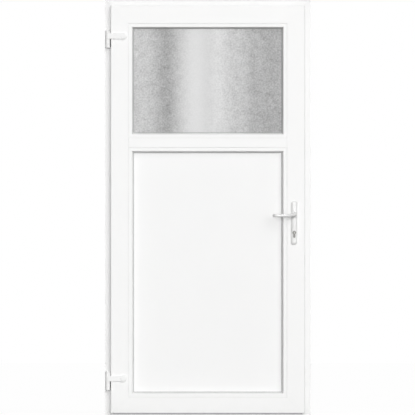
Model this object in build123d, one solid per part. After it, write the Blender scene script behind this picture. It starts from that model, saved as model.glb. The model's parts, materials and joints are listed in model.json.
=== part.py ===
from build123d import *

import math
import os

# White plastic side door in its frame, seen and measured from the room side.
#
# The door leaf hangs on two surface hinges at the left jamb and opens into the room. A pane of
# textured glass fills its upper third, and a plain white panel the rest, with a transom between them.
#
# Axes: X runs from the hinge jamb to the lock jamb, Y from the room to the outside, Z up.
# Origin: on the wall face of the hinge jamb, at the foot and at the middle of the frame's depth.
# Every length is in millimetres.

# The frame, as it is ordered
frame_width = 980.0
frame_height = 1980.0
frame_depth = 70.0
frame_room_land = 40.0  # room face of a jamb, from its wall face to the rebate
frame_stop_height = 20.0  # how far the outer stop stands up from the rebate floor
frame_stop_thickness = 18.0
frame_edge_radius = 2.0

# Extruded plastic walls
outer_wall = 3.0
inner_web = 2.0

# An outline leaves out any edge shorter than this
shortest_edge = 0.001

# The leaf's profile
leaf_cover = 12.0  # how far the leaf's lip covers the frame's room face
rebate_gap = 12.0  # air between the frame's rebate floor and the leaf
seal_gap = 5.0  # space that a seal fills, at the lip and at the stop
leaf_lip_thickness = 18.0
leaf_depth = 70.0
leaf_face = 84.0  # room face, from the lip's edge to the glazing bead
glazing_lip_height = 20.0
glazing_lip_thickness = 18.0
leaf_edge_radius = 1.5
leaf_inner_radius = 1.2
lip_bevel_height = 6.0
lip_bevel_depth = 8.0
leaf_floor_gap = 10.0  # lower edge of the leaf's lip above the floor
leaf_lip_trim = 9.0  # cut from the lower lip so that it clears the floor
room_chamber_depth = 12.0

# The transom between glass and panel
transom_below_top = 681.0  # from the top of the frame to the transom's middle
transom_face = 46.0

# Glazing
unit_thickness = 24.0
edge_clearance = 5.0
bead_height = 24.0  # where it meets its seal
bead_slope = 6.5  # how much lower its room face is
bead_setback = 1.0
bead_radius = 3.0
seal_thickness = 3.0
seal_show = 2.0  # how far a glazing seal shows beyond the bead
seal_cover = 8.0  # how far it reaches behind the bead
pane_thickness = 4.0
spacer_inset = 4.0
spacer_height = 8.0
spacer_wall = 0.8

# Rebate seals
rebate_seal_width = 6.0
rebate_seal_play = 0.6  # left open, so that nothing is squeezed when the leaf is shut
lip_seal_inset = 3.0
stop_seal_inset = 1.0

# The threshold
threshold_height = 20.0
threshold_outer_drop = 6.0
threshold_wall = 2.0
break_width = 8.0
break_drop = 0.6
tread_groove_width = 2.0
tread_groove_depth = 0.8
tread_groove_count = 3
tread_groove_pitch = 6.0

# Weather bar and sweep at the foot of the leaf
weather_bar_height = 32.0
weather_bar_reach = 26.0
weather_bar_nose = 9.0
weather_bar_top = 4.0
weather_bar_rise = 6.0  # above the lower edge of the leaf's body
weather_bar_end_gap = 9.0
weather_bar_wall = 2.5
weather_bar_radius = 2.0
sweep_width = 8.0
sweep_inset = 16.0  # from the lip's back
sweep_end_gap = 8.0

# Hinges
hinge_axis_inset = 12.5  # from the wall face
hinge_axis_height = 18.0  # in front of the frame's room face
lower_hinge_split = 160.0  # from the floor to the joint between the knuckles
upper_hinge_split = 186.0  # from the top of the frame to the same joint
knuckle_radius = 12.0
frame_knuckle_height = 43.0
lower_leaf_knuckle_height = 45.0  # taller, because it holds the height adjuster
upper_leaf_knuckle_height = 37.0
knuckle_gap = 0.6
pin_radius = 5.0
pin_play = 0.05
pin_cap_radius = 9.0
pin_cap_height = 3.0
pin_cap_play = 0.3
hinge_edge_radius = 3.0
strap_thickness = 7.0
strap_height = 27.0
strap_reach = 59.0  # from the lip's edge to the middle of the round end
strap_end_radius = 17.0
strap_cap_radius = 13.0
strap_cap_height = 2.0
hinge_plate_width = 23.0

# Lock and handle
handle_backset = 25.0  # from the leaf's rebate face
lever_height = 955.0
cylinder_drop = 85.0
plate_width = 28.0
plate_rise = 65.0  # plate above the lever's axis
plate_length = 206.0
plate_thickness = 8.0
plate_corner_radius = 11.0
plate_edge_radius = 2.0
spindle_side = 8.0
spindle_play = 0.3
spindle_end_play = 0.5
spindle_hole_radius = 10.0
collar_radius = 13.0
collar_height = 3.0
collar_play = 0.3
cone_height = 12.0
neck_radius = 8.5
neck_play = 0.3
neck_engagement = 3.0  # how far the neck reaches into its plate
grip_gap = 44.0  # between the leaf's face and the back of the grip
grip_depth = 10.0
grip_height = 14.0
grip_drop = 3.0  # grip below the lever's axis
grip_length = 103.0  # from the axis to the tip
grip_return = 22.0  # tip bent back towards the door
grip_bend_radius = 14.0
grip_inner_radius = 4.5
grip_edge_radius = 3.0
cylinder_radius = 8.5
cylinder_tail_width = 10.0
cylinder_height = 33.0
cylinder_stand = 2.0  # cylinder in front of its plate
cylinder_play = 0.3
keyway_width = 2.6
keyway_height = 9.0
keyway_depth = 14.0
faceplate_width = 16.0
faceplate_thickness = 3.0
faceplate_recess = 2.0
faceplate_length = 260.0
faceplate_rise = 90.0  # faceplate above the lever's axis
bolt_line = 26.0  # bolts and plates, from the lip's back
latch_rise = 50.0
latch_height = 34.0
latch_width = 11.0
latch_stand = 2.5
bolt_drop = 72.0
bolt_height = 40.0
bolt_width = 9.0
bolt_stand = 0.5
bolt_length = 18.0
bolt_play = 0.4
strike_width = 24.0
strike_thickness = 3.0
strike_recess = 2.0
strike_length = 210.0
strike_rise = 80.0
pocket_margin = 4.0

# Holes for the screws that hold the frame in the wall
anchor_radius = 3.75
anchor_depth = 22.0  # from the frame's room face
anchor_end_distance = 210.0
anchor_count = 4

# Places across the depth, from the room to the outside
frame_room_y = -frame_depth / 2
frame_outer_y = frame_depth / 2
stop_y = frame_outer_y - frame_stop_thickness
lip_back_y = frame_room_y - seal_gap
leaf_room_y = lip_back_y - leaf_lip_thickness
leaf_outer_y = leaf_room_y + leaf_depth
glazing_stop_y = leaf_outer_y - glazing_lip_thickness
unit_outer_y = glazing_stop_y - seal_thickness
unit_room_y = unit_outer_y - unit_thickness
bead_back_y = unit_room_y - seal_thickness
bead_room_y = leaf_room_y + bead_setback
bolt_y = lip_back_y + bolt_line

# Distances inward from the frame's wall face
stop_edge = frame_room_land + frame_stop_height
leaf_edge = frame_room_land - leaf_cover
leaf_rebate = frame_room_land + rebate_gap
lip_width = leaf_rebate - leaf_edge
bead_line = leaf_edge + leaf_face
leaf_section_width = leaf_face + glazing_lip_height

# Places along the height
leaf_top = frame_height - leaf_edge
leaf_virtual_bottom = leaf_floor_gap - leaf_lip_trim
leaf_body_bottom = leaf_virtual_bottom + lip_width
lower_bead_line = leaf_virtual_bottom + leaf_face
upper_bead_line = frame_height - bead_line
transom_centre = frame_height - transom_below_top
transom_low = transom_centre - transom_face / 2
transom_high = transom_centre + transom_face / 2
right_bead_line = frame_width - bead_line
handle_x = frame_width - leaf_rebate - handle_backset
cylinder_z = lever_height - cylinder_drop
hinge_axis_y = frame_room_y - hinge_axis_height

# A round solid that stands on its own end
standing = (Align.CENTER, Align.CENTER, Align.MIN)


class Opening:
    """A rectangle in the plane of the door, with its edges as places along X and Z."""

    def __init__(self, left, right, bottom, top):
        self.left = left
        self.right = right
        self.bottom = bottom
        self.top = top

    def inset(self, distance):
        return Opening(
            self.left + distance,
            self.right - distance,
            self.bottom + distance,
            self.top - distance,
        )


# The frame has no bottom member, so its outline runs down past the floor.
frame_outline = Opening(0.0, frame_width, -frame_width, frame_height)
leaf_outline = Opening(leaf_edge, frame_width - leaf_edge, leaf_virtual_bottom, leaf_top)
glass_opening = Opening(bead_line, right_bead_line, transom_high, upper_bead_line)
panel_opening = Opening(bead_line, right_bead_line, lower_bead_line, transom_low)


def outline(corners):
    """A closed face from corners given as (first, second, radius), with an arc at each rounded one."""
    ends = []
    arcs = []
    for index, (first, second, radius) in enumerate(corners):
        corner = Vector(first, second)
        before = Vector(*corners[index - 1][:2])
        after = Vector(*corners[(index + 1) % len(corners)][:2])
        if radius <= 0:
            ends.append((corner, corner))
            arcs.append(None)
            continue
        back = (before - corner).normalized()
        forth = (after - corner).normalized()
        half_angle = math.radians(back.get_angle(forth)) / 2
        start = corner + back * (radius / math.tan(half_angle))
        finish = corner + forth * (radius / math.tan(half_angle))
        centre = corner + (back + forth).normalized() * (radius / math.sin(half_angle))
        middle = centre + (corner - centre).normalized() * radius
        ends.append((start, finish))
        arcs.append((start, middle, finish))
    edges = []
    for index, arc in enumerate(arcs):
        if arc:
            edges.append(ThreePointArc(*arc))
        start = ends[index][1]
        finish = ends[(index + 1) % len(ends)][0]
        if (finish - start).length > shortest_edge:
            edges.append(Line(start, finish))
    return make_face(Wire(edges))


def rectangle(low_a, high_a, low_b, high_b):
    """A plain face between two limits on each axis."""
    return outline([(low_a, low_b, 0), (high_a, low_b, 0), (high_a, high_b, 0), (low_a, high_b, 0)])


def block(x, y, z):
    """A box from its limits along each axis."""
    return Pos(x[0], y[0], z[0]) * Box(x[1] - x[0], y[1] - y[0], z[1] - z[0], align=(Align.MIN,) * 3)


def cylinder_along_y(x, z, radius, y):
    """A round bar from y[0] to y[1]."""
    return Pos(x, y[0], z) * Rot(-90, 0, 0) * Cylinder(radius, y[1] - y[0], align=standing)


def cylinder_along_z(x, y, radius, z):
    """A round post from z[0] to z[1]."""
    return Pos(x, y, z[0]) * Cylinder(radius, z[1] - z[0], align=standing)


def facing_room(face, y):
    """Lays a face, drawn with X and Z, in the plane of the door and extrudes it from y[0] to y[1]."""
    upright = Plane((0, y[0], 0), x_dir=(1, 0, 0), z_dir=(0, -1, 0)) * face
    return extrude(upright, y[0] - y[1])


def along_x(face, x):
    """Extrudes a section, drawn with Y and Z, from x[0] to x[1]."""
    upright = Plane((x[0], 0, 0), x_dir=(0, 1, 0), z_dir=(1, 0, 0)) * face
    return extrude(upright, x[1] - x[0])


def straight_member(side, opening, section):
    """One side of a rectangle of profile. The section's X runs inward from that side, and its Y is depth."""
    if side in ("left", "right"):
        bar = Pos(opening.left, 0, opening.bottom) * extrude(section, opening.top - opening.bottom)
        middle = (opening.left + opening.right) / 2
        return bar if side == "left" else bar.mirror(Plane.YZ.offset(middle))
    bar = Rot(0, 90, 0) * extrude(section, opening.right - opening.left)
    bar = Pos(opening.left, 0, opening.top) * bar
    middle = (opening.bottom + opening.top) / 2
    return bar if side == "top" else bar.mirror(Plane.XY.offset(middle))


def mitre_keeper(side, opening, reach):
    """The space that a mitred side keeps, which narrows inward at 45 degrees from both its corners."""
    inner = opening.inset(reach)
    outer_corners = {
        "left": [(opening.left, opening.bottom), (opening.left, opening.top)],
        "right": [(opening.right, opening.bottom), (opening.right, opening.top)],
        "top": [(opening.left, opening.top), (opening.right, opening.top)],
        "bottom": [(opening.left, opening.bottom), (opening.right, opening.bottom)],
    }
    inner_corners = {
        "left": [(inner.left, inner.top), (inner.left, inner.bottom)],
        "right": [(inner.right, inner.top), (inner.right, inner.bottom)],
        "top": [(inner.right, inner.top), (inner.left, inner.top)],
        "bottom": [(inner.right, inner.bottom), (inner.left, inner.bottom)],
    }
    corners = [(x, z, 0) for x, z in outer_corners[side] + inner_corners[side]]
    deep = frame_depth + leaf_depth
    return facing_room(outline(corners), (-deep, deep))


def mitred_member(side, opening, section, reach):
    """One side of a rectangle of profile, with both ends mitred."""
    return straight_member(side, opening, section) & mitre_keeper(side, opening, reach)


def ring(opening, outer_inset, inner_inset, y):
    """A flat rectangular ring between two insets of an opening."""
    outer = opening.inset(outer_inset)
    inner = opening.inset(inner_inset)
    face = rectangle(outer.left, outer.right, outer.bottom, outer.top)
    hole = rectangle(inner.left, inner.right, inner.bottom, inner.top)
    return facing_room(face - hole, y)


def frame_section():
    """Hollow section of jambs and head: a room land, the rebate floor and the outer stop."""
    shell = outline(
        [
            (0, frame_room_y, 0),
            (frame_room_land, frame_room_y, frame_edge_radius),
            (frame_room_land, stop_y, 0),
            (stop_edge, stop_y, frame_edge_radius),
            (stop_edge, frame_outer_y, frame_edge_radius),
            (0, frame_outer_y, 0),
        ]
    )
    room_wall = frame_room_y + outer_wall
    outer_chamber = stop_y + outer_wall
    far_side = frame_room_land - outer_wall
    web_start = room_wall + room_chamber_depth
    rooms = [
        rectangle(outer_wall, far_side, room_wall, web_start),
        rectangle(outer_wall, far_side, web_start + inner_web, outer_chamber - inner_web),
        rectangle(outer_wall, stop_edge - outer_wall, outer_chamber, frame_outer_y - outer_wall),
    ]
    for room in rooms:
        shell -= room
    return shell


def leaf_outer_section():
    """Outer line of the leaf's profile, measured inward from the lip's edge."""
    return outline(
        [
            (0, leaf_room_y, leaf_edge_radius),
            (leaf_face, leaf_room_y, leaf_inner_radius),
            (leaf_face, glazing_stop_y, 0),
            (leaf_section_width, glazing_stop_y, 0),
            (leaf_section_width, leaf_outer_y - lip_bevel_depth, 0),
            (leaf_section_width - lip_bevel_height, leaf_outer_y, 0),
            (lip_width, leaf_outer_y, frame_edge_radius),
            (lip_width, lip_back_y, 0),
            (0, lip_back_y, leaf_inner_radius),
        ]
    )


def chamber_limits():
    """Depth limits of the three rows of chambers in leaf and transom."""
    room_start = leaf_room_y + outer_wall
    room_end = room_start + room_chamber_depth
    outer_start = glazing_stop_y + outer_wall
    return (
        (room_start, room_end),
        (room_end + inner_web, outer_start - inner_web),
        (outer_start, leaf_outer_y - outer_wall),
    )


def leaf_chambers():
    """Hollow chambers of stiles and rails, as one section each, measured inward from the lip's edge."""
    room_row, steel_row, outer_row = chamber_limits()
    outer_end = leaf_section_width - lip_bevel_height - 2 * outer_wall
    return [
        rectangle(outer_wall, leaf_face - outer_wall, *room_row),
        rectangle(lip_width + outer_wall, leaf_face - outer_wall, *steel_row),
        rectangle(lip_width + outer_wall, outer_end, *outer_row),
    ]


def transom_section():
    """Hollow section of the transom, with Y as depth and Z about its centre."""
    half_face = transom_face / 2
    half_flange = half_face + glazing_lip_height
    half_bevelled = half_flange - lip_bevel_height
    bevel_y = leaf_outer_y - lip_bevel_depth
    upper = [
        (leaf_room_y, half_face, leaf_inner_radius),
        (glazing_stop_y, half_face, 0),
        (glazing_stop_y, half_flange, 0),
        (bevel_y, half_flange, 0),
        (leaf_outer_y, half_bevelled, 0),
    ]
    lower = [(y, -z, radius) for y, z, radius in reversed(upper)]
    shell = outline(upper + lower)
    room_row, steel_row, outer_row = chamber_limits()
    inner_half = half_face - outer_wall
    outer_half = half_bevelled - 2 * outer_wall
    shell -= rectangle(*room_row, -inner_half, inner_half)
    shell -= rectangle(*steel_row, -inner_half, inner_half)
    shell -= rectangle(*outer_row, -outer_half, outer_half)
    return shell


def bead_section():
    """Glazing bead with a rounded room edge and a sloped inner wall, measured inward from the bead line."""
    return outline(
        [
            (0, bead_room_y, leaf_inner_radius),
            (bead_height - bead_slope, bead_room_y, bead_radius),
            (bead_height, bead_back_y, 0),
            (0, bead_back_y, 0),
        ]
    )


def euro_profile(x, z, play):
    """Outline of a profile cylinder: a round head with a narrower tail below it."""
    head = Pos(x, z) * Circle(cylinder_radius + play)
    tail_half = cylinder_tail_width / 2 + play
    tail_end = z + cylinder_radius - cylinder_height - play
    tail = outline(
        [
            (x - tail_half, tail_end, tail_half * 0.98),
            (x + tail_half, tail_end, tail_half * 0.98),
            (x + tail_half, z, 0),
            (x - tail_half, z, 0),
        ]
    )
    return (head + tail).face()


def anchor_holes(wall_side):
    """Screw holes through a jamb, from the rebate floor to the wall."""
    y = frame_room_y + anchor_depth
    start = -1.0 if wall_side == "left" else frame_width - frame_room_land - 1.0
    pitch = (frame_height - 2 * anchor_end_distance) / (anchor_count - 1)
    bar = Cylinder(anchor_radius, frame_room_land + 2.0, align=standing)
    holes = Part()
    for index in range(anchor_count):
        holes += Pos(start, y, anchor_end_distance + index * pitch) * Rot(0, 90, 0) * bar
    return holes


def pockets(x, play):
    """Openings for latch and bolt, cut across the plates and walls between x[0] and x[1]."""
    latch_z = lever_height + latch_rise
    bolt_z = lever_height - bolt_drop
    cuts = Part()
    for centre, height, width in ((latch_z, latch_height, latch_width), (bolt_z, bolt_height, bolt_width)):
        half_height = height / 2 + play
        half_width = width / 2 + play
        y = (bolt_y - half_width, bolt_y + half_width)
        cuts += block(x, y, (centre - half_height, centre + half_height))
    return cuts


def frame_parts():
    """The mitred outer frame and its stop seal."""
    section = frame_section()
    reach = stop_edge + 1.0
    below_floor = block((-1.0, frame_width + 1.0), (-frame_depth, frame_depth), (-2 * frame_width, 0.0))
    hinge_jamb = mitred_member("left", frame_outline, section, reach) - below_floor - anchor_holes("left")
    lock_jamb = mitred_member("right", frame_outline, section, reach) - below_floor - anchor_holes("right")
    lock_jamb -= strike_recess_shape()
    rebate_floor = frame_width - frame_room_land
    lock_jamb -= pockets((rebate_floor - 1.0, rebate_floor + outer_wall + 1.0), pocket_margin)
    head = mitred_member("top", frame_outline, section, reach)
    return {"hinge_jamb": hinge_jamb, "lock_jamb": lock_jamb, "frame_head": head}


def strike_limits():
    """Limits of the strike plate, sunk into the lock jamb's rebate floor."""
    floor_x = frame_width - frame_room_land
    x = (floor_x + strike_recess - strike_thickness, floor_x + strike_recess)
    y = (bolt_y - strike_width / 2, bolt_y + strike_width / 2)
    top = lever_height + strike_rise
    return x, y, (top - strike_length, top)


def strike_recess_shape():
    x, y, z = strike_limits()
    return block((x[0] - 1.0, x[1]), y, z)


def strike_plate():
    x, y, z = strike_limits()
    return block(x, y, z) - pockets((x[0] - 1.0, x[1] + 1.0), bolt_play + 1.0)


def stop_seal():
    """Three-sided seal on the frame's stop, around the leaf's outer face."""
    outer_inset = leaf_rebate + stop_seal_inset
    y = (leaf_outer_y + rebate_seal_play, stop_y)
    seal = ring(frame_outline, outer_inset, outer_inset + rebate_seal_width, y)
    return seal - block((0, frame_width), (y[0] - 1, y[1] + 1), (-frame_width, threshold_height))


def threshold_parts():
    """Two aluminium rails, joined by a plastic thermal break, between the jambs."""
    inner_limit = -break_width / 2
    outer_limit = break_width / 2
    slope_start = outer_limit
    wall = threshold_wall
    low_top = threshold_height - threshold_outer_drop

    inner = outline(
        [
            (frame_room_y, 0, 0),
            (inner_limit, 0, 0),
            (inner_limit, threshold_height, 0),
            (frame_room_y, threshold_height, 1.5),
        ]
    ) - rectangle(frame_room_y + wall, inner_limit - wall, wall, threshold_height - wall)
    outer = outline(
        [
            (slope_start, 0, 0),
            (frame_outer_y, 0, 0),
            (frame_outer_y, low_top, 1.5),
            (slope_start, threshold_height, 0),
        ]
    ) - outline(
        [
            (slope_start + wall, wall, 0),
            (frame_outer_y - wall, wall, 0),
            (frame_outer_y - wall, low_top - wall, 0),
            (slope_start + wall, threshold_height - 2 * wall, 0),
        ]
    )
    groove_floor = threshold_height - tread_groove_depth
    for index in range(tread_groove_count):
        y = frame_room_y + tread_groove_pitch * (index + 1)
        inner -= rectangle(y, y + tread_groove_width, groove_floor, threshold_height + 1.0)
    middle = rectangle(inner_limit, outer_limit, 0, threshold_height - break_drop)

    wide = (frame_room_land, frame_width - frame_room_land)
    notch_left = block((0, stop_edge), (stop_y, frame_outer_y + 1), (-1, threshold_height + 1))
    notch_right = notch_left.mirror(Plane.YZ.offset(frame_width / 2))
    return {
        "threshold_room_rail": along_x(inner, wide),
        "threshold_outer_rail": along_x(outer, wide) - notch_left - notch_right,
        "threshold_thermal_break": along_x(middle, wide),
    }


def leaf_member(side):
    """One mitred side of the leaf. The lower lip ends above the floor, where a wall closes it."""
    reach = leaf_section_width + 1.0
    depth = (leaf_room_y - 1, leaf_outer_y + 1)
    trim = block((0, frame_width), depth, (-frame_height, leaf_floor_gap))
    closed = block((0, frame_width), depth, (-frame_height, leaf_floor_gap + outer_wall))
    member = mitred_member(side, leaf_outline, leaf_outer_section(), reach) - trim
    for chamber in leaf_chambers():
        member -= mitred_member(side, leaf_outline, chamber, reach) - closed
    return member


def leaf_parts():
    """Mitred stiles and rails, and the transom between the stiles."""
    members = {
        "leaf_hinge_stile": "left",
        "leaf_lock_stile": "right",
        "leaf_top_rail": "top",
        "leaf_bottom_rail": "bottom",
    }
    parts = {}
    for name, side in members.items():
        parts[name] = leaf_member(side)
    parts["leaf_lock_stile"] -= lock_cutouts()

    transom = Pos(0, 0, transom_centre) * along_x(transom_section(), (bead_line, right_bead_line))
    stile_outer = leaf_outer_section()
    for side in ("left", "right"):
        transom -= straight_member(side, leaf_outline, stile_outer)
    parts["leaf_transom"] = transom
    return parts


def lock_cutouts():
    """Holes in the lock stile for the spindle, the cylinder, the faceplate and the bolts."""
    through = (leaf_room_y - 1, leaf_outer_y + 1)
    cuts = cylinder_along_y(handle_x, lever_height, spindle_hole_radius, through)
    cuts += facing_room(euro_profile(handle_x, cylinder_z, cylinder_play), through)
    x, y, z = faceplate_limits()
    cuts += block((x[0], x[1] + 1.0), y, z)
    rebate_x = frame_width - leaf_rebate
    cuts += pockets((rebate_x - outer_wall - 1.0, rebate_x), bolt_play)
    return cuts


def faceplate_limits():
    """Limits of the lock's faceplate, let into the lock stile's edge."""
    rebate_x = frame_width - leaf_rebate
    x = (rebate_x - faceplate_recess, rebate_x - faceplate_recess + faceplate_thickness)
    y = (bolt_y - faceplate_width / 2, bolt_y + faceplate_width / 2)
    top = lever_height + faceplate_rise
    return x, y, (top - faceplate_length, top)


def lock_parts():
    """Faceplate, latch, bolt and profile cylinder."""
    x, y, z = faceplate_limits()
    faceplate = block(x, y, z) - pockets((x[0] - 1.0, x[1] + 1.0), bolt_play)

    latch_z = lever_height + latch_rise
    half_latch = latch_width / 2
    latch_tip = x[1] + latch_stand
    latch_plan = outline(
        [
            (latch_tip - bolt_length, bolt_y - half_latch, 0),
            (latch_tip, bolt_y - half_latch, 1.0),
            (latch_tip, bolt_y + half_latch, 1.0),
            (latch_tip - bolt_length, bolt_y + half_latch, 0),
        ]
    )
    latch = Pos(0, 0, latch_z - latch_height / 2) * extrude(latch_plan, latch_height)

    bolt_z = lever_height - bolt_drop
    bolt_tip = x[1] + bolt_stand
    bolt = block(
        (bolt_tip - bolt_length, bolt_tip),
        (bolt_y - bolt_width / 2, bolt_y + bolt_width / 2),
        (bolt_z - bolt_height / 2, bolt_z + bolt_height / 2),
    )

    front = leaf_room_y - plate_thickness - cylinder_stand
    back = leaf_outer_y + plate_thickness + cylinder_stand
    cylinder = facing_room(euro_profile(handle_x, cylinder_z, 0), (front, back))
    for start, finish in ((front - 1, front + keyway_depth), (back - keyway_depth, back + 1)):
        cylinder -= block(
            (handle_x - keyway_width / 2, handle_x + keyway_width / 2),
            (start, finish),
            (cylinder_z - keyway_height / 2, cylinder_z + keyway_height / 2),
        )
    return {
        "lock_faceplate": faceplate,
        "latch_bolt": latch,
        "dead_bolt": bolt,
        "lock_cylinder": cylinder,
    }


def span(first, second):
    """Two places in rising order."""
    return (min(first, second), max(first, second))


def handle_plate(surface_y, outward):
    """Long handle plate with rounded corners. outward is -1 towards the room and 1 towards the outside."""
    front = surface_y + outward * plate_thickness
    y = span(surface_y, front)
    top = lever_height + plate_rise
    bottom = top - plate_length
    half = plate_width / 2
    face = outline(
        [
            (handle_x - half, bottom, plate_corner_radius),
            (handle_x + half, bottom, plate_corner_radius),
            (handle_x + half, top, plate_corner_radius),
            (handle_x - half, top, plate_corner_radius),
        ]
    )
    plate = facing_room(face, y)
    outer_face = min(plate.faces().filter_by(Axis.Y), key=lambda each: abs(each.center().Y - front))
    plate = fillet(outer_face.edges(), plate_edge_radius)
    through = (y[0] - 1, y[1] + 1)
    plate -= cylinder_along_y(handle_x, lever_height, neck_radius + neck_play, through)
    plate -= facing_room(euro_profile(handle_x, cylinder_z, cylinder_play), through)
    return plate


def lever(surface_y, outward):
    """A lever with its tip bent back. outward is -1 towards the room and 1 towards the outside."""
    plate_face = surface_y + outward * plate_thickness
    start = plate_face + outward * collar_play
    collar_end = start + outward * collar_height
    cone_end = collar_end + outward * cone_height
    grip_back = surface_y + outward * grip_gap
    grip_front = grip_back + outward * grip_depth
    back_tip = grip_back - outward * (grip_return - grip_depth)
    hub_x = handle_x + neck_radius
    tip_x = handle_x - grip_length
    plan = outline(
        [
            (hub_x, grip_front, grip_inner_radius),
            (tip_x, grip_front, grip_bend_radius),
            (tip_x, back_tip, grip_inner_radius),
            (tip_x + grip_depth, back_tip, grip_inner_radius),
            (tip_x + grip_depth, grip_back, grip_inner_radius),
            (hub_x, grip_back, grip_inner_radius),
        ]
    )
    grip_z = lever_height - grip_drop
    grip = Pos(0, 0, grip_z - grip_height / 2) * extrude(plan, grip_height)
    grip = fillet(grip.edges().filter_by(Axis.Z, reverse=True), grip_edge_radius)

    inside = plate_face - outward * neck_engagement
    outside = grip_back + outward * grip_depth / 2
    body = grip + cylinder_along_y(handle_x, lever_height, neck_radius, span(inside, outside))
    body += cylinder_along_y(handle_x, lever_height, collar_radius, span(start, collar_end))
    cone = Cone(collar_radius, neck_radius, cone_height, align=standing)
    body += Pos(handle_x, collar_end, lever_height) * Rot(-90 * outward, 0, 0) * cone

    half_hole = spindle_side / 2 + spindle_play
    hole_x = (handle_x - half_hole, handle_x + half_hole)
    hole_z = (lever_height - half_hole, lever_height + half_hole)
    return body - block(hole_x, span(inside - outward, cone_end), hole_z)


def handle_parts():
    """Both levers on one square spindle."""
    reach = plate_thickness + collar_play + collar_height + cone_height - spindle_end_play
    half = spindle_side / 2
    spindle = block(
        (handle_x - half, handle_x + half),
        (leaf_room_y - reach, leaf_outer_y + reach),
        (lever_height - half, lever_height + half),
    )
    return {
        "room_lever": lever(leaf_room_y, -1),
        "outer_lever": lever(leaf_outer_y, 1),
        "lever_spindle": spindle,
    }


def glazing_parts():
    """Beads, seals, the glass unit and the panel."""
    parts = {}
    section = bead_section()
    reach = bead_height + 1.0
    names = {"top": "top", "bottom": "bottom", "left": "hinge_side", "right": "lock_side"}
    for field, opening in (("glass", glass_opening), ("panel", panel_opening)):
        for side, word in names.items():
            parts[f"{field}_bead_{word}"] = mitred_member(side, opening, section, reach)
        seals = {
            "room": (bead_height, (bead_back_y, unit_room_y)),
            "outer": (glazing_lip_height, (unit_outer_y, glazing_stop_y)),
        }
        for word, (covered, y) in seals.items():
            seal = ring(opening, covered - seal_cover, covered + seal_show, y)
            parts[f"{field}_seal_{word}"] = seal

    pane = glass_opening.inset(edge_clearance)
    x = (pane.left, pane.right)
    z = (pane.bottom, pane.top)
    room_pane_back = unit_room_y + pane_thickness
    outer_pane_front = unit_outer_y - pane_thickness
    parts["glass_pane_room"] = block(x, (unit_room_y, room_pane_back), z)
    parts["glass_pane_outer"] = block(x, (outer_pane_front, unit_outer_y), z)
    spacer = ring(pane, spacer_inset, spacer_inset + spacer_height, (room_pane_back, outer_pane_front))
    hollow = ring(
        pane,
        spacer_inset + spacer_wall,
        spacer_inset + spacer_height - spacer_wall,
        (room_pane_back + spacer_wall, outer_pane_front - spacer_wall),
    )
    parts["glass_spacer"] = spacer - hollow

    board = panel_opening.inset(edge_clearance)
    depth = (unit_room_y, unit_outer_y)
    parts["lower_panel"] = block((board.left, board.right), depth, (board.bottom, board.top))
    return parts


def leaf_seals():
    """Seal behind the leaf's lip, sweep under its body and the weather bar outside."""
    y = (lip_back_y, frame_room_y - rebate_seal_play)
    around = Opening(leaf_outline.left, leaf_outline.right, leaf_floor_gap - 1.0, leaf_outline.top)
    lip_seal = ring(around, lip_seal_inset, lip_seal_inset + rebate_seal_width, y)

    sweep_y = lip_back_y + sweep_inset
    sweep_x = (leaf_rebate + sweep_end_gap, frame_width - leaf_rebate - sweep_end_gap)
    sweep_z = (threshold_height + rebate_seal_play, leaf_body_bottom)
    sweep = block(sweep_x, (sweep_y, sweep_y + sweep_width), sweep_z)

    low = leaf_body_bottom + weather_bar_rise
    high = low + weather_bar_height
    nose_y = leaf_outer_y + weather_bar_reach
    wall = weather_bar_wall
    bar = outline(
        [
            (leaf_outer_y, low, 0),
            (nose_y, low, 1.0),
            (nose_y, low + weather_bar_nose, weather_bar_radius),
            (leaf_outer_y + weather_bar_top, high, weather_bar_radius),
            (leaf_outer_y, high, 0),
        ]
    ) - outline(
        [
            (leaf_outer_y + wall, low + wall, 0),
            (nose_y - 2 * wall, low + wall, 0),
            (nose_y - 2 * wall, low + weather_bar_nose - wall / 2, 0),
            (leaf_outer_y + wall, high - 3 * wall, 0),
        ]
    )
    end = stop_edge + weather_bar_end_gap
    return {
        "lip_seal": lip_seal,
        "foot_sweep": sweep,
        "weather_bar": along_x(bar, (end, frame_width - end)),
    }


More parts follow.
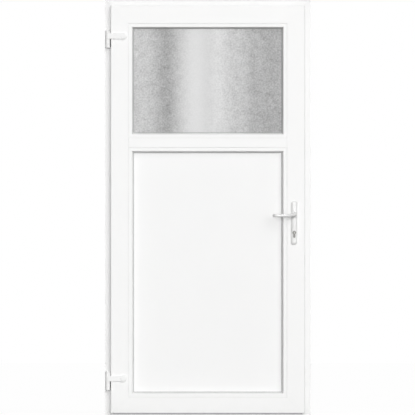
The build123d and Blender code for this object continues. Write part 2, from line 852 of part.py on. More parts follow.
def hinge_parts(prefix, split, leaf_knuckle_height):
    """One surface hinge: a knuckle and plate on the frame, a knuckle and strap on the leaf, and the pin."""
    x = hinge_axis_inset
    y = hinge_axis_y
    low = split - frame_knuckle_height
    high = split + knuckle_gap + leaf_knuckle_height
    hole = cylinder_along_z(x, y, pin_radius + pin_play, (low - 1, high + 1))

    half = hinge_plate_width / 2
    seat = outline(
        [
            (x - half, frame_room_y, 0),
            (x - half, y, 0),
            (x + half, y, 0),
            (x + half, frame_room_y, 0),
        ]
    )
    plan = (seat + Pos(x, y) * Circle(knuckle_radius)).face()
    frame_side = Pos(0, 0, low) * extrude(plan, frame_knuckle_height)
    frame_side = fillet(frame_side.faces().sort_by(Axis.Z)[0].edges(), hinge_edge_radius) - hole

    start = split + knuckle_gap
    knuckle = cylinder_along_z(x, y, knuckle_radius, (start, high))
    strap_front = leaf_room_y - strap_thickness
    boss_x = leaf_edge + strap_reach
    boss_z = start + strap_height / 2
    strap = block((x, boss_x), (strap_front, leaf_room_y), (start, start + strap_height))
    round_end = cylinder_along_y(boss_x, boss_z, strap_end_radius, (strap_front, leaf_room_y))
    # The strap ends inside the knuckle, level with the knuckle's front.
    leaf_side = knuckle + strap + round_end - hole
    cover = cylinder_along_y(boss_x, boss_z, strap_cap_radius, (strap_front - strap_cap_height, strap_front))
    cover = fillet(cover.faces().sort_by(Axis.Y)[0].edges(), strap_cap_height * 0.6)

    cap_start = high + pin_cap_play
    pin = cylinder_along_z(x, y, pin_radius, (low, cap_start))
    pin += cylinder_along_z(x, y, pin_cap_radius, (cap_start, cap_start + pin_cap_height))
    pin = fillet(pin.faces().sort_by(Axis.Z)[-1].edges(), 1.2)
    return {
        f"{prefix}_hinge_frame_side": frame_side,
        f"{prefix}_hinge_leaf_side": leaf_side,
        f"{prefix}_hinge_screw_cover": cover,
        f"{prefix}_hinge_pin": pin,
    }


def build():
    parts = {}
    parts.update(frame_parts())
    parts["frame_stop_seal"] = stop_seal()
    parts["strike_plate"] = strike_plate()
    parts.update(threshold_parts())
    parts.update(leaf_parts())
    parts.update(glazing_parts())
    parts.update(leaf_seals())
    parts.update(lock_parts())
    parts["room_handle_plate"] = handle_plate(leaf_room_y, -1)
    parts["outer_handle_plate"] = handle_plate(leaf_outer_y, 1)
    parts.update(handle_parts())
    parts.update(hinge_parts("lower", lower_hinge_split, lower_leaf_knuckle_height))
    parts.update(hinge_parts("upper", frame_height - upper_hinge_split, upper_leaf_knuckle_height))
    return parts


os.makedirs("parts", exist_ok=True)
for node, shape in build().items():
    export_step(shape, f"parts/{node}.step")
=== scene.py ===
"""Looks of a white plastic side door in its frame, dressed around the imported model.

The door stands on a pale floor and is seen from the room side. X runs from the hinge jamb to the lock
jamb, Y from the room to the outside and Z up. Lengths are in metres.
"""

import json
import math

import bmesh
import bpy
import numpy as np
from bpy.props import FloatProperty, FloatVectorProperty, IntProperty, PointerProperty
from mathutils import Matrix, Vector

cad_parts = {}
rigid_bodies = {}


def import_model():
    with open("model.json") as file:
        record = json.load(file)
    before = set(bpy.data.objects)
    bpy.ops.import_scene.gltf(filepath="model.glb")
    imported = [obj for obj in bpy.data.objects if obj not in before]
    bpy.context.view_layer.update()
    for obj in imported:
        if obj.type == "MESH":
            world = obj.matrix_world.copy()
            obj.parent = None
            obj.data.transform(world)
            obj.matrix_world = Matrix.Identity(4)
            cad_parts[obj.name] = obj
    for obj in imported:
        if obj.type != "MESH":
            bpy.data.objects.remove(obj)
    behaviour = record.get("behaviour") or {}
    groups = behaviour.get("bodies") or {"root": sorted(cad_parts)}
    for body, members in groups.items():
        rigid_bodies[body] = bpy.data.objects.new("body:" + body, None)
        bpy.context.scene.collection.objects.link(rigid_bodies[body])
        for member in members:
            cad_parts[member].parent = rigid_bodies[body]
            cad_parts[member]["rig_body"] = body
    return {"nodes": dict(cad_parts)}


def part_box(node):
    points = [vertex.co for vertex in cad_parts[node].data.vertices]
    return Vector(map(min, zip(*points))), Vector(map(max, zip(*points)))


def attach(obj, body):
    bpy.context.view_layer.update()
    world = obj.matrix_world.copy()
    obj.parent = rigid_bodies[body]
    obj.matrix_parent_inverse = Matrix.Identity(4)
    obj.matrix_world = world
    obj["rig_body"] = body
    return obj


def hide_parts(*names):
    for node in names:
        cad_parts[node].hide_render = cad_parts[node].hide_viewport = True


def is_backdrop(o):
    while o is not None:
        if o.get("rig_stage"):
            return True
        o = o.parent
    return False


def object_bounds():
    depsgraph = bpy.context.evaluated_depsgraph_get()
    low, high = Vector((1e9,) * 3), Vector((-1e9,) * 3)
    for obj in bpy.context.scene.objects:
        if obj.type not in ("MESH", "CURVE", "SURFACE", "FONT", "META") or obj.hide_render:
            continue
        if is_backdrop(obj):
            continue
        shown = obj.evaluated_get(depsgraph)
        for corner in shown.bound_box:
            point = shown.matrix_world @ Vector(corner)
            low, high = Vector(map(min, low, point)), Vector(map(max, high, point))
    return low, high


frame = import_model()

bl_info = {
    "name": "Plastic side door",
    "version": (1, 0, 0),
    "blender": (4, 5, 0),
    "location": "3D View > Sidebar > Side Door",
    "description": "Builds the visible surfaces of a glazed plastic side door",
    "category": "Object",
}

MM = 0.001
# Angle in degrees past which an edge between two faces stays sharp
CREASE = 32.0


def length(name, description, millimetres):
    """A length that a user may change, kept in metres."""
    return FloatProperty(
        name=name, description=description, default=millimetres * MM, min=0.0, precision=5,
        subtype="DISTANCE", unit="LENGTH",
    )


def colour(name, description, value):
    """A linear colour that a user may change."""
    return FloatVectorProperty(
        name=name, description=description, default=value, size=3, min=0.0, max=1.0, subtype="COLOR"
    )


def factor(name, description, value, high=1.0):
    """A plain share or strength that a user may change."""
    return FloatProperty(name=name, description=description, default=value, min=0.0, max=high)


# Settings


class ProfileLines(bpy.types.PropertyGroup):
    """Lines and colours of the plastic profiles."""

    edge_radius: length("Edge radius", "Rounding of the leaf's outer edge", 1.5)
    joint_radius: length("Joint radius", "Rounding of edges that meet another profile", 1.2)
    frame_radius: length("Frame radius", "Rounding of the frame's edges", 2.0)
    weld_width: length("Weld width", "Width of the groove along a welded corner", 2.8)
    weld_depth: length("Weld depth", "Depth of the groove along a welded corner", 0.35)
    bead_radius: length("Bead radius", "Rounding of a glazing bead's room edge", 3.0)
    bead_slope: length("Bead slope", "How much lower a bead's room face is than its foot", 6.5)
    seal_width: length("Seal width", "Width of a glazing seal, covered part and all", 10.0)
    white: colour("White", "Colour of the plastic profiles", (0.885, 0.885, 0.880))
    # Painted shade: the profiles' white made darker on the frame, to offset the light that the leaf's lip
    # bounces onto it
    frame_shaded_white: colour("Frame white", "Colour of the fixed frame", (0.84, 0.84, 0.837))
    panel_white: colour("Panel white", "Colour of the lower panel", (0.868, 0.868, 0.865))
    seal_grey: colour("Seal grey", "Colour of the rubber seals", (0.38, 0.38, 0.385))


class GlazingLook(bpy.types.PropertyGroup):
    """Tones and relief of the textured pane."""

    tone: factor("Tone", "Light that the textured pane passes", 0.545)
    pebble: length("Pebble", "Size of one pebble on the textured pane", 7.5)
    relief: length("Relief", "Depth of the pebbled face", 0.14)
    mottle: factor("Mottle", "How much the pebbles change the pane's tone", 0.64, 2.0)
    blotch: factor("Blotch", "How much broad patches change the pane's tone", 0.25, 2.0)
    grid: length("Grid", "Spacing of the pane's mesh", 2.6)
    roughness: factor("Roughness", "How far the pane scatters light", 0.38)


class HardwareLook(bpy.types.PropertyGroup):
    """Colours of hinges, handles, lock and threshold."""

    # Painted light: whiter than the profiles' white, to lift the shade that falls on the hinges' straps and
    # knuckles
    hinge_lifted_white: colour("Hinge white", "Powder coat on the hinges", (0.93, 0.93, 0.925))
    handle_white: colour("Handle white", "Powder coat on the handles", (0.72, 0.72, 0.715))
    steel: colour("Steel", "Zinc plate on faceplate and bolts", (0.62, 0.62, 0.63))
    # Painted shade: far darker than bare nickel, so that the cylinder's face shows dark among the white
    # surroundings it mirrors
    shaded_nickel: colour("Nickel", "Plate on the lock cylinder", (0.20, 0.198, 0.19))
    # Painted shade: darker than bare aluminium, for the threshold's place in the shade under the leaf's lip
    shaded_aluminium: colour("Aluminium", "Satin anodised threshold", (0.36, 0.36, 0.365))
    turned_steps: IntProperty(
        name="Turned steps", description="Faces around a turned piece", default=64, min=12, max=256
    )


class StudioSetup(bpy.types.PropertyGroup):
    """Camera, floor and lamps."""

    camera_x: length("Camera place", "Place of the camera across the door", 488.9)
    camera_distance: FloatProperty(
        name="Camera distance", description="From the camera to the door", default=75.0, min=5.0,
        subtype="DISTANCE", unit="LENGTH",
    )
    shown_height: length("Shown height", "Height of the picture at the leaf's face", 1980.0)
    key_strength: factor("Key", "Irradiance of the lamp at the right", 1.49, 20.0)
    front_strength: factor("Front", "Irradiance of the frontal lamp", 0.34, 20.0)
    fill_strength: factor("Fill", "Irradiance of the soft lamp at the left", 0.50, 20.0)
    top_strength: factor("Top", "Irradiance of the soft lamp above", 0.30, 20.0)
    back_strength: factor("Back", "Irradiance of the lamp behind the door", 2.0, 20.0)
    dome_strength: factor("Dome", "Light from all round", 0.10, 5.0)
    floor_white: colour("Floor seen", "Colour of the floor where it is seen", (0.90, 0.90, 0.895))
    floor_glow: factor("Floor glow", "Share of plain white in the floor where it is seen", 0.94)
    floor_grey: colour("Floor bounce", "Colour of the floor in the light it returns", (0.30, 0.30, 0.30))


# Outlines and meshes


def rounded(corners, chords=6):
    """Points of an outline whose corners are (first, second, radius), in millimetres, given in metres.

    A rounded corner is an arc that touches both its edges: its centre lies on the bisector, at the
    radius over the sine of half the corner's angle, and its points turn evenly from one edge to the other.
    """
    table = np.array(corners, float) * MM
    points, radii = table[:, :2], table[:, 2]
    back = np.roll(points, 1, axis=0) - points
    forth = np.roll(points, -1, axis=0) - points
    back /= np.linalg.norm(back, axis=1, keepdims=True)
    forth /= np.linalg.norm(forth, axis=1, keepdims=True)
    half = np.arccos(np.clip((back * forth).sum(axis=1), -1, 1)) / 2
    runs = []
    for index, radius in enumerate(radii):
        if radius <= 0:
            runs.append(points[index : index + 1])
            continue
        bisector = back[index] + forth[index]
        bisector /= np.linalg.norm(bisector)
        centre = points[index] + bisector * radius / math.sin(half[index])
        start = points[index] + back[index] * radius / math.tan(half[index]) - centre
        finish = points[index] + forth[index] * radius / math.tan(half[index]) - centre
        turn = math.pi - 2 * half[index]
        share = np.linspace(0, 1, chords + 1)[:, None]
        bend = (start * np.sin((1 - share) * turn) + finish * np.sin(share * turn)) / math.sin(turn)
        runs.append(centre + bend)
    return np.concatenate(runs)


def arc(centre, radius, start, finish, count, endpoint=True):
    """Points of a circle between two angles: its centre plus the radius times their cosine and sine."""
    angle = np.linspace(start, finish, count, endpoint=endpoint)
    return np.stack([centre[0] + radius * np.cos(angle), centre[1] + radius * np.sin(angle)], axis=1)


def rectangle(left, right, low, high):
    """Corners of a rectangle, anticlockwise from its lower left one."""
    return np.array([(left, low), (right, low), (right, high), (left, high)])


def inset(points, distance):
    """A closed outline moved inward: each point goes along its bisector until both edges have moved
    by the distance."""
    edges = np.roll(points, -1, axis=0) - points
    edges /= np.maximum(np.linalg.norm(edges, axis=1, keepdims=True), 1e-12)
    area = (points[:, 0] * np.roll(points[:, 1], -1) - np.roll(points[:, 0], -1) * points[:, 1]).sum()
    inward = np.stack([-edges[:, 1], edges[:, 0]], axis=1) * np.sign(area)
    before = np.roll(inward, 1, axis=0)
    meeting = 1 + (before * inward).sum(axis=1, keepdims=True)
    return points + (before + inward) / np.maximum(meeting, 0.2) * distance


def skin(rings, joined=False):
    """Points and faces of a surface through rings of points, given as an array of (ring, point, 3).

    Each face joins two neighbours on one ring to the same two on the next. The last ring joins the
    first where joined, and otherwise one flat face closes each end.
    """
    count, size = rings.shape[:2]
    index = np.arange(count * size).reshape(count, size)
    beside = np.roll(index, -1, axis=1)
    last = count if joined else count - 1
    follow, follow_beside = np.roll(index, -1, axis=0), np.roll(beside, -1, axis=0)
    quads = np.stack([index[:last], beside[:last], follow_beside[:last], follow[:last]], axis=-1)
    faces = quads.reshape(-1, 4).tolist()
    if not joined:
        faces += [index[0].tolist(), index[-1].tolist()]
    return rings.reshape(-1, 3), faces


def together(*shells):
    """Several surfaces as one list of points and faces."""
    points, faces, start = [], [], 0
    for shell_points, shell_faces in shells:
        points.append(shell_points)
        faces += [[start + corner for corner in face] for face in shell_faces]
        start += len(shell_points)
    return np.concatenate(points), faces


def closed_mesh(name, shell, crease=CREASE):
    """A mesh of closed shells, with its doubles merged and its faces outward.

    An edge stays sharp where its two faces turn by more than the crease, in degrees.
    """
    mesh = bpy.data.meshes.new(name)
    mesh.from_pydata(shell[0].tolist(), [], shell[1])
    work = bmesh.new()
    work.from_mesh(mesh)
    bmesh.ops.remove_doubles(work, verts=work.verts, dist=0.001 * MM)
    bmesh.ops.recalc_face_normals(work, faces=work.faces)
    work.to_mesh(mesh)
    work.free()
    mesh.shade_smooth()
    mesh.set_sharp_from_angle(angle=math.radians(crease))
    return mesh


def add_object(name, data):
    """A new object in the scene, at the origin and unturned."""
    made = bpy.data.objects.new(name, data)
    bpy.context.scene.collection.objects.link(made)
    return made


def dress(mesh, material):
    """Gives a mesh its one material."""
    mesh.materials.clear()
    mesh.materials.append(material)


def piece(name, shell, material, body, nodes=(), crease=CREASE, soften=0.0, level_flats=True):
    """A finished piece at the origin, riding on its body and standing for its CAD nodes.

    Its normals are weighed by the area of the faces around them, so that wide flats shade evenly
    up to their rounded edges.
    """
    mesh = shell if isinstance(shell, bpy.types.Mesh) else closed_mesh(name, shell, crease)
    mesh.name = name
    dress(mesh, material)
    made = add_object(name, mesh)
    if soften:
        bevel = made.modifiers.new("soft edges", "BEVEL")
        bevel.width = soften
        bevel.segments = 2
        bevel.limit_method = "ANGLE"
        bevel.angle_limit = math.radians(40)
    if level_flats:
        weigh = made.modifiers.new("level flats", "WEIGHTED_NORMAL")
        weigh.mode = "FACE_AREA"
        weigh.weight = 100
        weigh.keep_sharp = True
    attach(made, body)
    if nodes:
        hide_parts(*nodes)
    return made


def dress_node(node, material):
    """Gives a CAD node that stays in view its material."""
    dress(frame["nodes"][node].data, material)


def smoothed_node(node, material, soften):
    """A copy of a CAD node's mesh with its loose triangles merged, its flats joined and its edges eased."""
    source, level, crease = frame["nodes"][node], math.radians(0.5), math.radians(25.0)
    work = bmesh.new()
    work.from_mesh(source.data)
    bmesh.ops.remove_doubles(work, verts=work.verts, dist=0.01 * MM)
    bmesh.ops.dissolve_limit(
        work, angle_limit=level, verts=work.verts, edges=work.edges, use_dissolve_boundaries=False
    )
    mesh = bpy.data.meshes.new(node)
    work.to_mesh(mesh)
    work.free()
    mesh.shade_smooth()
    mesh.set_sharp_from_angle(angle=crease)
    piece(f"{node}_finish", mesh, material, source["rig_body"], (node,), soften=soften)


def cut(made, shell):
    """Takes closed shells out of a piece's mesh, before its other modifiers."""
    knife = add_object("knife", closed_mesh("knife", shell))
    hole = made.modifiers.new("holes", "BOOLEAN")
    hole.operation = "DIFFERENCE"
    hole.solver = "EXACT"
    hole.object = knife
    made.modifiers.move(len(made.modifiers) - 1, 0)
    flats = made.modifiers.get("level flats")
    flats.show_viewport = False
    scene_state = bpy.context.evaluated_depsgraph_get()
    mesh = bpy.data.meshes.new_from_object(made.evaluated_get(scene_state))
    mesh.name = made.data.name
    made.modifiers.remove(hole)
    flats.show_viewport = True
    made.data = mesh
    blade = knife.data
    bpy.data.objects.remove(knife)
    bpy.data.meshes.remove(blade)


# Surfaces


class Opening:
    """A rectangle in the plane of the door, in metres."""

    def __init__(self, left, right, bottom, top):
        self.left, self.right, self.bottom, self.top = left, right, bottom, top

    def inset(self, distance):
        """The rectangle with all four sides moved inward."""
        return Opening(
            self.left + distance, self.right - distance, self.bottom + distance, self.top - distance
        )


def around(*nodes):
    """The rectangle that some CAD nodes fill together."""
    lows, highs = zip(*(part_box(node) for node in nodes))
    return Opening(
        min(low.x for low in lows), max(high.x for high in highs),
        min(low.z for low in lows), max(high.z for high in highs),
    )


def run_of(side):
    """Whether a side of a rectangle runs upright or level."""
    return "upright" if side in ("left", "right") else "level"


def profile_bar(side, opening, section, groove, floor=-np.inf, ends=(True, True)):
    """One side of a rectangle of profile. The section's first value runs inward from that side.

    The section is carried along the side. Its ends lie on the corners' diagonals, so a point's place
    along the side is the corner's place plus the point's own distance inward. At the ends that are
    mitred the section shrinks by the weld groove's depth, which leaves a shallow notch along the joint.
    Points that would lie under the floor are raised to it.
    """
    width, depth = groove
    upright = run_of(side) == "upright"
    edge, inward = getattr(opening, side), 1.0 if side in ("left", "bottom") else -1.0
    start, finish = (opening.bottom, opening.top) if upright else (opening.left, opening.right)
    slim, run = inset(section, depth), width / math.sqrt(2)

    def place(points, along):
        reach, y = edge + inward * points[:, 0], points[:, 1]
        return np.stack((reach, y, along) if upright else (along, y, reach), axis=1)

    def low_end(points):
        return np.maximum(start + points[:, 0], floor)

    def high_end(points):
        return finish - points[:, 0]

    rings = [place(section, low_end(section)), place(section, high_end(section))]
    if ends[0]:
        rings[:1] = [place(slim, low_end(slim)), place(section, low_end(section) + run)]
    if ends[1]:
        rings[-1:] = [place(section, high_end(section) - run), place(slim, high_end(slim))]
    return skin(np.stack(rings))


def ring_of_profile(opening, section):
    """A section carried round all four sides of a rectangle, with a mitre at each corner."""
    inward, y = section[:, 0], section[:, 1]
    left, right = opening.left + inward, opening.right - inward
    bottom, top = opening.bottom + inward, opening.top - inward
    rings = [np.stack(corner, axis=1) for corner in
             ((left, y, bottom), (right, y, bottom), (right, y, top), (left, y, top))]
    return skin(np.stack(rings), joined=True)


def hoop_of_profile(opening, section, foot):
    """A section carried up one side of a rectangle, along its top and down the other to a foot height."""
    inward, y = section[:, 0], section[:, 1]
    left, right, top = opening.left + inward, opening.right - inward, opening.top - inward
    low = np.full_like(inward, foot)
    rings = [np.stack(corner, axis=1) for corner in
             ((left, y, low), (left, y, top), (right, y, top), (right, y, low))]
    return skin(np.stack(rings))


def straight_bar(section, start, finish):
    """A section of (Y, Z) points carried along X."""
    rings = [np.stack([np.full(len(section), x), section[:, 0], section[:, 1]], axis=1)
             for x in (start, finish)]
    return skin(np.stack(rings))


def turned(profile, centre, axis, steps, outward=1.0):
    """A closed surface of revolution. The profile holds (radius, distance) pairs, and each pair turns
    into a circle of that radius at that distance along the axis from the centre."""
    angle = np.linspace(0, 2 * math.pi, steps, endpoint=False)
    radius, along = profile[:, 0][:, None], profile[:, 1][:, None] * outward
    first, second = radius * np.cos(angle), radius * np.sin(angle)
    along = np.broadcast_to(along, first.shape)
    columns = (first, along, second) if axis == "Y" else (first, second, along)
    return skin(np.stack(columns, axis=-1) + np.array(centre))


def stacked(outline, levels, place):
    """A plate built of insets of one outline. Each level is (inset, height), and place gives the
    X, Y and Z of points from their place on the outline and their height."""
    return skin(np.stack([place(inset(outline, far), high) for far, high in levels]))


def upright_plate(outline, levels, surface, out=-1.0):
    """A plate on an upright surface, which rises towards the room, or to the outside where out is 1."""
    return stacked(outline, levels,
                   lambda plan, up: np.stack([plan[:, 0], np.full(len(plan), surface + out * up),
                                              plan[:, 1]], axis=1))


def eased(height, radius, base_radius=0.0, chords=5):
    """Levels of a plate whose outer edge is a quarter circle, and its base edge another where asked."""
    turn = np.linspace(0, math.pi / 2, chords + 1)
    top = [(radius * (1 - math.cos(a)), height - radius * (1 - math.sin(a))) for a in turn]
    if not base_radius:
        return [(0.0, 0.0)] + top
    base = [(base_radius * (1 - math.cos(a)), base_radius * (1 - math.sin(a))) for a in turn[::-1]]
    return base + top


def disc(centre, axis, steps, radius, low, high, edge=0.0, outward=1.0):
    """A disc or post between two places along its axis, with a quarter circle at its far edge."""
    turn = np.linspace(0, math.pi / 2, 6)
    far = [(radius - edge * (1 - math.cos(a)), high - edge * (1 - math.sin(a))) for a in turn]
    profile = np.array([(0.0, low), (radius, low)] + far + [(0.0, high)])
    return turned(profile, centre, axis, steps, outward)


# Materials


class Tree:
    """Short ways to add and join the nodes of one material or group."""

    def __init__(self, tree):
        self.tree = tree
        self.nodes = tree.nodes

    def add(self, kind, **settings):
        """A new node with its settings."""
        node = self.nodes.new(kind)
        for name, value in settings.items():
            setattr(node, name, value)
        return node

    def find(self, kind):
        """The node of a kind that Blender has put there."""
        return next(node for node in self.nodes if node.type == kind)

    def join(self, source, target):
        """A link from an output to an input."""
        self.tree.links.new(source, target)

    def give(self, node, **values):
        """Sets or joins a node's inputs. Each is named by its title, with underscores for spaces."""
        for name, value in values.items():
            socket = node.inputs[name.replace("_", " ")]
            if hasattr(value, "is_output"):
                self.join(value, socket)
            else:
                socket.default_value = value
        return node

    def math(self, operation, first, second=None, clamp=False):
        """The result of a sum on numbers or outputs."""
        node = self.add("ShaderNodeMath", operation=operation, use_clamp=clamp)
        for slot, value in enumerate((first, second)):
            if value is None:
                continue
            if isinstance(value, (int, float)):
                node.inputs[slot].default_value = value
            else:
                self.join(value, node.inputs[slot])
        return node.outputs[0]

    def places(self):
        """Places on the piece, in its own X, Y and Z."""
        return self.add("ShaderNodeTexCoord").outputs["Object"]

    def place_along(self, axis):
        """The place along one axis, as a number."""
        split = self.add("ShaderNodeSeparateXYZ")
        self.join(self.places(), split.inputs[0])
        return split.outputs[axis]

    def noise(self, places, **values):
        """A soft noise between 0 and 1."""
        return self.give(self.add("ShaderNodeTexNoise"), Vector=places, **values).outputs["Fac"]

    def group(self, tree, **values):
        """A node group placed with its own values."""
        return self.give(self.add("ShaderNodeGroup", node_tree=tree), **values)

    def varied(self, noise, given):
        """The level Dull of a group's inputs, moved up and down by a noise as far as its Spread says."""
        centred = self.math("SUBTRACT", noise, 0.5)
        swing = self.math("MULTIPLY", centred, given["Spread"])
        return self.math("ADD", swing, given["Dull"])

    def seen(self):
        """1 for rays that the camera, a mirror or a pane sends out, and 0 for all others."""
        path = self.add("ShaderNodeLightPath").outputs
        direct = self.math("MAXIMUM", path["Is Camera Ray"], path["Is Glossy Ray"])
        return self.math("MAXIMUM", direct, path["Is Transmission Ray"])


def new_group(name, inputs, outputs):
    """An empty shader node group, with the sockets that it is given and those that it makes.

    Its inputs are titles with their defaults, a number or a vector each, and its outputs are titles
    of numbers.
    """
    tree = bpy.data.node_groups.new(name, "ShaderNodeTree")
    for title, default in inputs.items():
        kind = "NodeSocketVector" if isinstance(default, tuple) else "NodeSocketFloat"
        socket = tree.interface.new_socket(title, in_out="INPUT", socket_type=kind)
        socket.default_value = default
    for title in outputs:
        tree.interface.new_socket(title, in_out="OUTPUT", socket_type="NodeSocketFloat")
    work = Tree(tree)
    return work, work.add("NodeGroupInput").outputs, work.add("NodeGroupOutput").inputs


def moulded_skin_group():
    """Faint waviness and dulling of moulded or coated surfaces: two noises of object places."""
    work, given, made = new_group(
        "Moulded skin", {"Size": 0.003, "Dull": 0.35, "Spread": 0.06}, ("Height", "Roughness")
    )
    places = work.places()
    fine = work.noise(places, Scale=work.math("DIVIDE", 1.0, given["Size"]), Detail=2.0)
    broad = work.noise(places, Scale=9.0, Detail=3.0)
    work.join(fine, made["Height"])
    work.join(work.varied(broad, given), made["Roughness"])
    return work.tree


def drawn_lines_group():
    """Fine lines that run along an extruded or brushed piece: a noise stretched along it."""
    work, given, made = new_group(
        "Drawn lines", {"Density": (900.0, 900.0, 4.0), "Dull": 0.3, "Spread": 0.1}, ("Height", "Roughness")
    )
    stretched = work.add("ShaderNodeVectorMath", operation="MULTIPLY")
    work.join(work.places(), stretched.inputs[0])
    work.join(given["Density"], stretched.inputs[1])
    noise = work.noise(stretched.outputs[0], Scale=1.0, Detail=4.0, Roughness=0.6)
    work.join(noise, made["Height"])
    work.join(work.varied(noise, given), made["Roughness"])
    return work.tree


def foot_dust_group():
    """Share of a thin dust film that thins out with height and in patches."""
    work, given, made = new_group("Foot dust", {"Reach": 0.25, "Most": 0.5}, ("Mask",))
    share = work.math("DIVIDE", work.place_along("Z"), given["Reach"])
    fall = work.math("SUBTRACT", 1.0, share, clamp=True)
    patches = work.noise(work.places(), Scale=22.0, Detail=5.0)
    patchy = work.math("MULTIPLY", work.math("POWER", fall, 3.0), patches)
    work.join(work.math("MULTIPLY", patchy, given["Most"]), made["Mask"])
    return work.tree


def soft_band_group():
    """One soft upright band: its gain times e to minus the square of the distance over its width."""
    work, given, made = new_group(
        "Soft band", {"Across": 0.0, "Centre": 0.0, "Width": 0.1, "Gain": 1.0}, ("Value",)
    )
    away = work.math("SUBTRACT", given["Across"], given["Centre"])
    share = work.math("DIVIDE", away, given["Width"])
    square = work.math("MULTIPLY", share, share)
    bell = work.math("EXPONENT", work.math("MULTIPLY", square, -1.0))
    work.join(work.math("MULTIPLY", bell, given["Gain"]), made["Value"])
    return work.tree


def pebble_group():
    """Rounded pebbles of cast glass: half of one less the smoothed distance to a cell's middle plus a
    noise."""
    work, given, made = new_group("Pebbles", {"Size": 0.0075}, ("Height",))
    places, scale = work.places(), work.math("DIVIDE", 1.0, given["Size"])
    cells = work.add("ShaderNodeTexVoronoi", feature="SMOOTH_F1")
    work.give(cells, Vector=places, Scale=scale, Smoothness=0.7)
    inverse = work.math("SUBTRACT", 1.0, cells.outputs["Distance"])
    grain = work.noise(places, Scale=scale, Detail=2.0)
    work.join(work.math("MULTIPLY", work.math("ADD", inverse, grain), 0.5), made["Height"])
    return work.tree


def plain_material(name, base, roughness, **sockets):
    """A material with one Principled shader. Sockets that stay even all over are set on the shader."""
    material = bpy.data.materials.new(name)
    material.use_nodes = True
    work = Tree(material.node_tree)
    shader = work.find("BSDF_PRINCIPLED")
    work.give(shader, Base_Color=(*base, 1.0), Roughness=roughness, **sockets)
    return material, work, shader


def bump(work, shader, height, distance, strength):
    """Joins a height to the shader's normal."""
    node = work.give(work.add("ShaderNodeBump"), Strength=strength, Distance=distance, Height=height)
    work.join(node.outputs["Normal"], shader.inputs["Normal"])


def tinted(work, shader, mask, first, second):
    """Base colour that goes from a first colour to a second one where the mask is 1."""
    mix = work.add("ShaderNodeMix", data_type="RGBA")
    work.give(mix, Factor=mask, A=(*first, 1.0), B=(*second, 1.0))
    work.join(mix.outputs["Result"], shader.inputs["Base Color"])


def plastic(name, base, groups, density):
    """White plastic with drawn lines, a faint skin and a little dust near the floor."""
    dull, line_share, dust_colour = 0.25, 0.35, (0.70, 0.69, 0.67)
    material, work, shader = plain_material(name, base, dull, Specular_IOR_Level=0.5)
    lines = work.group(groups["lines"], Density=density, Dull=dull, Spread=0.10).outputs
    grain = work.group(groups["skin"], Size=0.0045, Dull=dull, Spread=0.05).outputs
    height = work.math("ADD", work.math("MULTIPLY", lines["Height"], line_share), grain["Height"])
    bump(work, shader, height, distance=0.00006, strength=0.5)
    both = work.math("ADD", lines["Roughness"], grain["Roughness"])
    work.join(work.math("MULTIPLY", both, 0.5), shader.inputs["Roughness"])
    dust = work.group(groups["dust"], Reach=0.22, Most=0.30)
    tinted(work, shader, dust.outputs["Mask"], base, dust_colour)
    return material


def covered(name, base, dull, group, values, distance, strength, **sockets):
    """A material whose relief and roughness come from one node group, placed with its own values."""
    material, work, shader = plain_material(name, base, dull, **sockets)
    made = work.group(group, Dull=dull, **values).outputs
    bump(work, shader, made["Height"], distance, strength)
    work.join(made["Roughness"], shader.inputs["Roughness"])
    return material


def coated(name, base, groups, glaze=0.0):
    """Powder coat: a white skin with a fine orange-peel surface, under a clear glaze where asked."""
    return covered(name, base, 0.36, groups["skin"], {"Size": 0.0011, "Spread": 0.08}, distance=0.00005,
                   strength=0.6, Specular_IOR_Level=0.5, Coat_Weight=glaze, Coat_Roughness=0.12)


def brushed(name, base, groups, density, dull=0.33):
    """Brushed or satin metal with fine lines along its length."""
    return covered(name, base, dull, groups["lines"], {"Density": density, "Spread": 0.22},
                   distance=0.00003, strength=0.5, Metallic=1.0)


def rubber(name, base, groups):
    """Matt rubber with a fine grain."""
    return covered(name, base, 0.62, groups["skin"], {"Size": 0.0009, "Spread": 0.10}, distance=0.00004,
                   strength=0.5, Specular_IOR_Level=0.35)


# Painted reflections: soft upright light and grey bands painted into the textured pane's tone, each with
# its place across the door and its half width, both in metres, and its gain
PAINTED_REFLECTION_BANDS = (
    # Grey towards the hinge side
    (0.29, 0.060, -0.20),
    # Two light bands beside the middle
    (0.43, 0.065, 0.15),
    (0.54, 0.040, 0.11),
    # A thin grey line, and grey towards the lock side
    (0.70, 0.020, -0.06),
    (0.79, 0.105, -0.17),
)
# The band in which the pebbles are faint
CALM_BAND = (0.45, 0.095, -0.85)


def cast_glass(groups, look):
    """Cast glass that passes a soft light: its tone is a sum of soft bands of painted reflection, and
    pebbles mottle it.
    """
    material, work, shader = plain_material(
        "textured_glass", (look.tone,) * 3, look.roughness, Transmission_Weight=0.8, IOR=1.45
    )
    across, patch = work.place_along("X"), 4.0 * look.pebble

    def plus_band(level, centre, width, gain):
        """A level with one soft band added to it."""
        band = work.group(groups["band"], Across=across, Centre=centre, Width=width, Gain=gain)
        return work.math("ADD", band.outputs["Value"], level)

    # Painted reflections: the pane's tone with the soft light and grey bands added to it
    tone_and_reflections = look.tone
    for band in PAINTED_REFLECTION_BANDS:
        tone_and_reflections = plus_band(tone_and_reflections, *band)
    lively = plus_band(1.0, *CALM_BAND)
    pebbles = work.group(groups["pebbles"], Size=look.pebble).outputs["Height"]
    blotches = work.group(groups["pebbles"], Size=patch).outputs["Height"]
    grain = work.math("MULTIPLY", work.math("SUBTRACT", pebbles, 0.5), look.mottle)
    swell = work.math("MULTIPLY", work.math("SUBTRACT", blotches, 0.5), look.blotch)
    mottled = work.math("ADD", tone_and_reflections, work.math("MULTIPLY", work.math("ADD", grain, swell), lively))
    grey = work.add("ShaderNodeCombineColor")
    for channel in grey.inputs:
        work.join(mottled, channel)
    work.join(grey.outputs[0], shader.inputs["Base Color"])
    bump(work, shader, work.math("MULTIPLY", pebbles, lively), distance=0.0006, strength=0.35)
    return material


